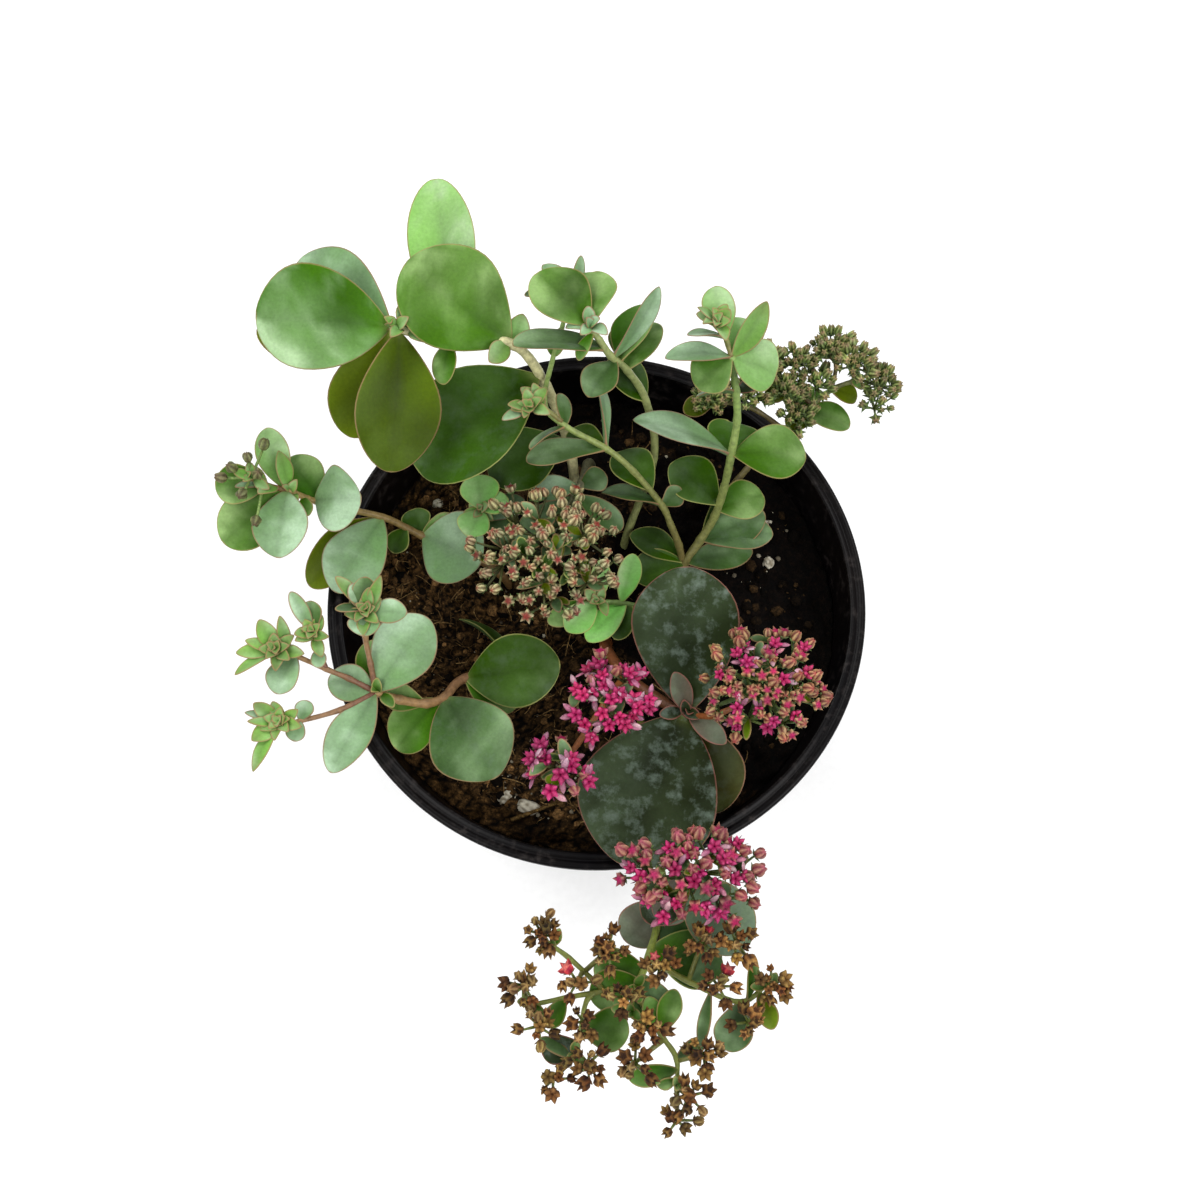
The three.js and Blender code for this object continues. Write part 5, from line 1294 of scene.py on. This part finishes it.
def clustered(shoots, clusters, more, reach, low, high, chance, thick):
    """Twigs from the stems to each cluster's hub, and places for its flowers on a dome about it, each on
    a fine stalk. A cluster is a place and a count, which more multiplies. thick is the radius of a twig
    at its foot and hub, and of a stalk at its flower."""
    hubs = np.array([cluster[:3] for cluster in clusters], float) - (0, 0, reach)
    low, high = linear(low), linear(high)
    starts = nearest_places(shoots, hubs)
    sag = (hubs - starts) * (0.15, 0.15, -0.15)
    twigs = rods(starts, hubs, thick[:2], blend(low, high, 0.5), sag, rows=7, sides=6)
    counts = np.array([round(cluster[3] * more) for cluster in clusters])
    which = np.repeat(np.arange(len(clusters)), counts)
    order = np.concatenate([np.arange(count) for count in counts])
    share = ((order + 0.5) / counts[which]) ** 0.5
    angle = math.radians(GOLDEN_TURN) * order + chance.uniform(0, 6, len(clusters))[which]
    angle = angle + chance.normal(0, 0.2, len(which))
    ways = np.stack([share * np.cos(angle), share * np.sin(angle), 1.15 - 0.75 * share], -1)
    length = reach * chance.uniform(0.85, 1.25, (len(which), 1)) * (0.8 + 0.45 * share[:, None])
    places = hubs[which] + unit(ways) * length
    fine = rods(hubs[which], places, thick[1:], high, rows=5)
    return [twigs, fine], places, ways + (0, 0, 0.4)

# %% [markdown]
# The old spray hangs over the front of the pot. Its petals have fallen and its flowers are dry seed cups,
# 3 mm wide, tan on the ridges and nearly black between them, with ragged points. Some stayed shut, and
# the oldest have burst into their five pods. A few late ones are still coral red, each the one that
# stands nearest to a chosen place.

# %% The old spray
OLD_CLUSTERS = [
    (-14, -101, 189, 8), (3, -105, 190, 7), (17, -109, 190, 6), (-19, -114, 186, 7), (-15, -124, 186, 6),
    (-5, -113, 188, 4), (-3, -123, 187, 4), (7, -117, 190, 5), (13, -124, 189, 6), (28, -103, 190, 7),
    (37, -103, 189, 6), (32, -114, 188, 5), (46, -114, 187, 7), (40, -123, 186, 5), (28, -131, 187, 6),
    (24, -141, 184, 6), (21, -147, 182, 4), (-2, -133, 187, 6), (-11, -137, 184, 4), (10, -133, 187, 5),
]
STAYED_SHUT, BURST_FROM, DARK_SHARE = 0.2, 0.66, 0.4
LATE_PLACES = [(-6, -105), (-5, -110), (14, -107), (32, -99), (33, -109), (15, -101)]
CORAL = ("#b8383c", "#7a1630", "#cc6a64")
spray = STEMS["spray_trailing"]
chance = np.random.default_rng(401)
twigs, places, ways = clustered(spray, OLD_CLUSTERS, more=1.6, reach=3.2, low="#6a5c2c", high="#788440",
                                chance=chance, thick=(0.75, 0.5, 0.32))
count = len(places)
sizes = 0.82 * chance.normal(1, 0.16, count).clip(0.65, 1.35)
dried = coloured(count, ("#6c4820", "#261408", "#a07c42"), chance, 0.32)
dried[chance.uniform(0, 1, count) < DARK_SHARE] *= (0.62, 0.48, 0.42)
fresh_brown = coloured(count, ("#8f7a48", "#4a3018", "#a08250"), chance, 0.15)
ways = unit(ways) + chance.normal(0, 0.35, (count, 3))
gaps = np.linalg.norm(places[:, None, :2] - np.array(LATE_PLACES)[None], axis=-1)
late = np.isin(np.arange(count), gaps.argmin(0))
age = chance.uniform(0, 1, count)
shut, burst = ~late & (age < STAYED_SHUT), ~late & (age > BURST_FROM)
cups = ~late & ~shut & ~burst
dry_sepals = coloured(count, ("#6a4c2c", "#46301a", "#7c5c38"), chance)
seeds = [
    copies(SEED_CUP, places[cups], ways[cups], sizes[cups], dried[cups], chance),
    copies(BUD, places[shut], ways[shut], 0.85 * sizes[shut], fresh_brown[shut], chance),
    copies(PODS, places[burst], ways[burst], 0.95 * sizes[burst], dried[burst], chance),
    copies(HALF_OPEN, places[late], ways[late], sizes[late], coloured(late.sum(), CORAL, chance), chance),
    copies(SEPALS, places, ways, sizes * 0.9, dry_sepals, chance),
]
piece("spray_trailing_twigs", twigs, stem_skin, "dry_spray", "spray_trailing")
piece("spray_trailing_seeds", seeds, dry_skin, "dry_spray", "spray_trailing")
print("old flowers:", count, "of which", late.sum(), "are still red")

# %% [markdown]
# The spray at the back right is younger: tight olive-green buds no wider than a lentil, crowded on short
# stalks, with a few tips already brown.

# %% The young spray
YOUNG_CLUSTERS = [
    (52, 66, 191, 8), (61, 66, 192, 7), (71, 70, 194, 8), (78, 65, 193, 8), (86, 60, 190, 6),
    (85, 54, 187, 3), (57.5, 58, 189, 8), (61, 51, 185, 6), (67, 60, 190, 5), (46, 58, 187, 5),
    (35, 57, 187, 8),
]
spray = STEMS["spray_back_right"]
chance = np.random.default_rng(402)
twigs, places, ways = clustered(spray, YOUNG_CLUSTERS, more=3.0, reach=4.0, low="#5a5c34", high="#62703a",
                                chance=chance, thick=(0.6, 0.42, 0.25))
count = len(places)
sizes = chance.normal(1, 0.14, count).clip(0.7, 1.3)
greens = coloured(count, ("#8ea25a", "#364018", "#98785a"), chance, 0.2)
buds = [
    copies(SMALL_BUD, places, ways, sizes, greens, chance),
    copies(SEPALS, places, ways, sizes * 0.85, coloured(count, LEAF_GREEN, chance), chance),
]
piece("spray_back_right_twigs", twigs, stem_skin, "bud_green", "spray_back_right")
piece("spray_back_right_buds", buds, bud_skin, "bud_green", "spray_back_right")
print("young buds:", count)

# %% [markdown]
# The shoot at the left has set its first buds: a few olive ones, as large as a match head, on short
# stalks above the youngest leaves.

# %% The first buds of the left shoot
FIRST_BUDS = [
    (-97, 34, 196), (-106, 25, 197), (-103, 26.5, 199), (-101, 21.5, 196), (-97.5, 25.5, 197),
    (-100, 29.5, 198), (-97, 14, 195),
]
spray = STEMS["stem_left"]
chance = np.random.default_rng(403)
places = np.array(FIRST_BUDS, float)
starts = nearest_places(spray, places)
count = len(places)
olive = coloured(count, ("#7c8450", "#4c4a2c", "#5c4a34"), chance, 0.12)
first_buds = [
    rods(starts, places, (0.5, 0.4), linear("#7a9450")),
    copies(BUD, places, places - starts + (0, 0, 3), chance.uniform(0.8, 1.0, count), olive, chance),
]
piece("stem_left_buds", first_buds, bud_skin, "bud_green", "stem_left")
print("first buds:", count)
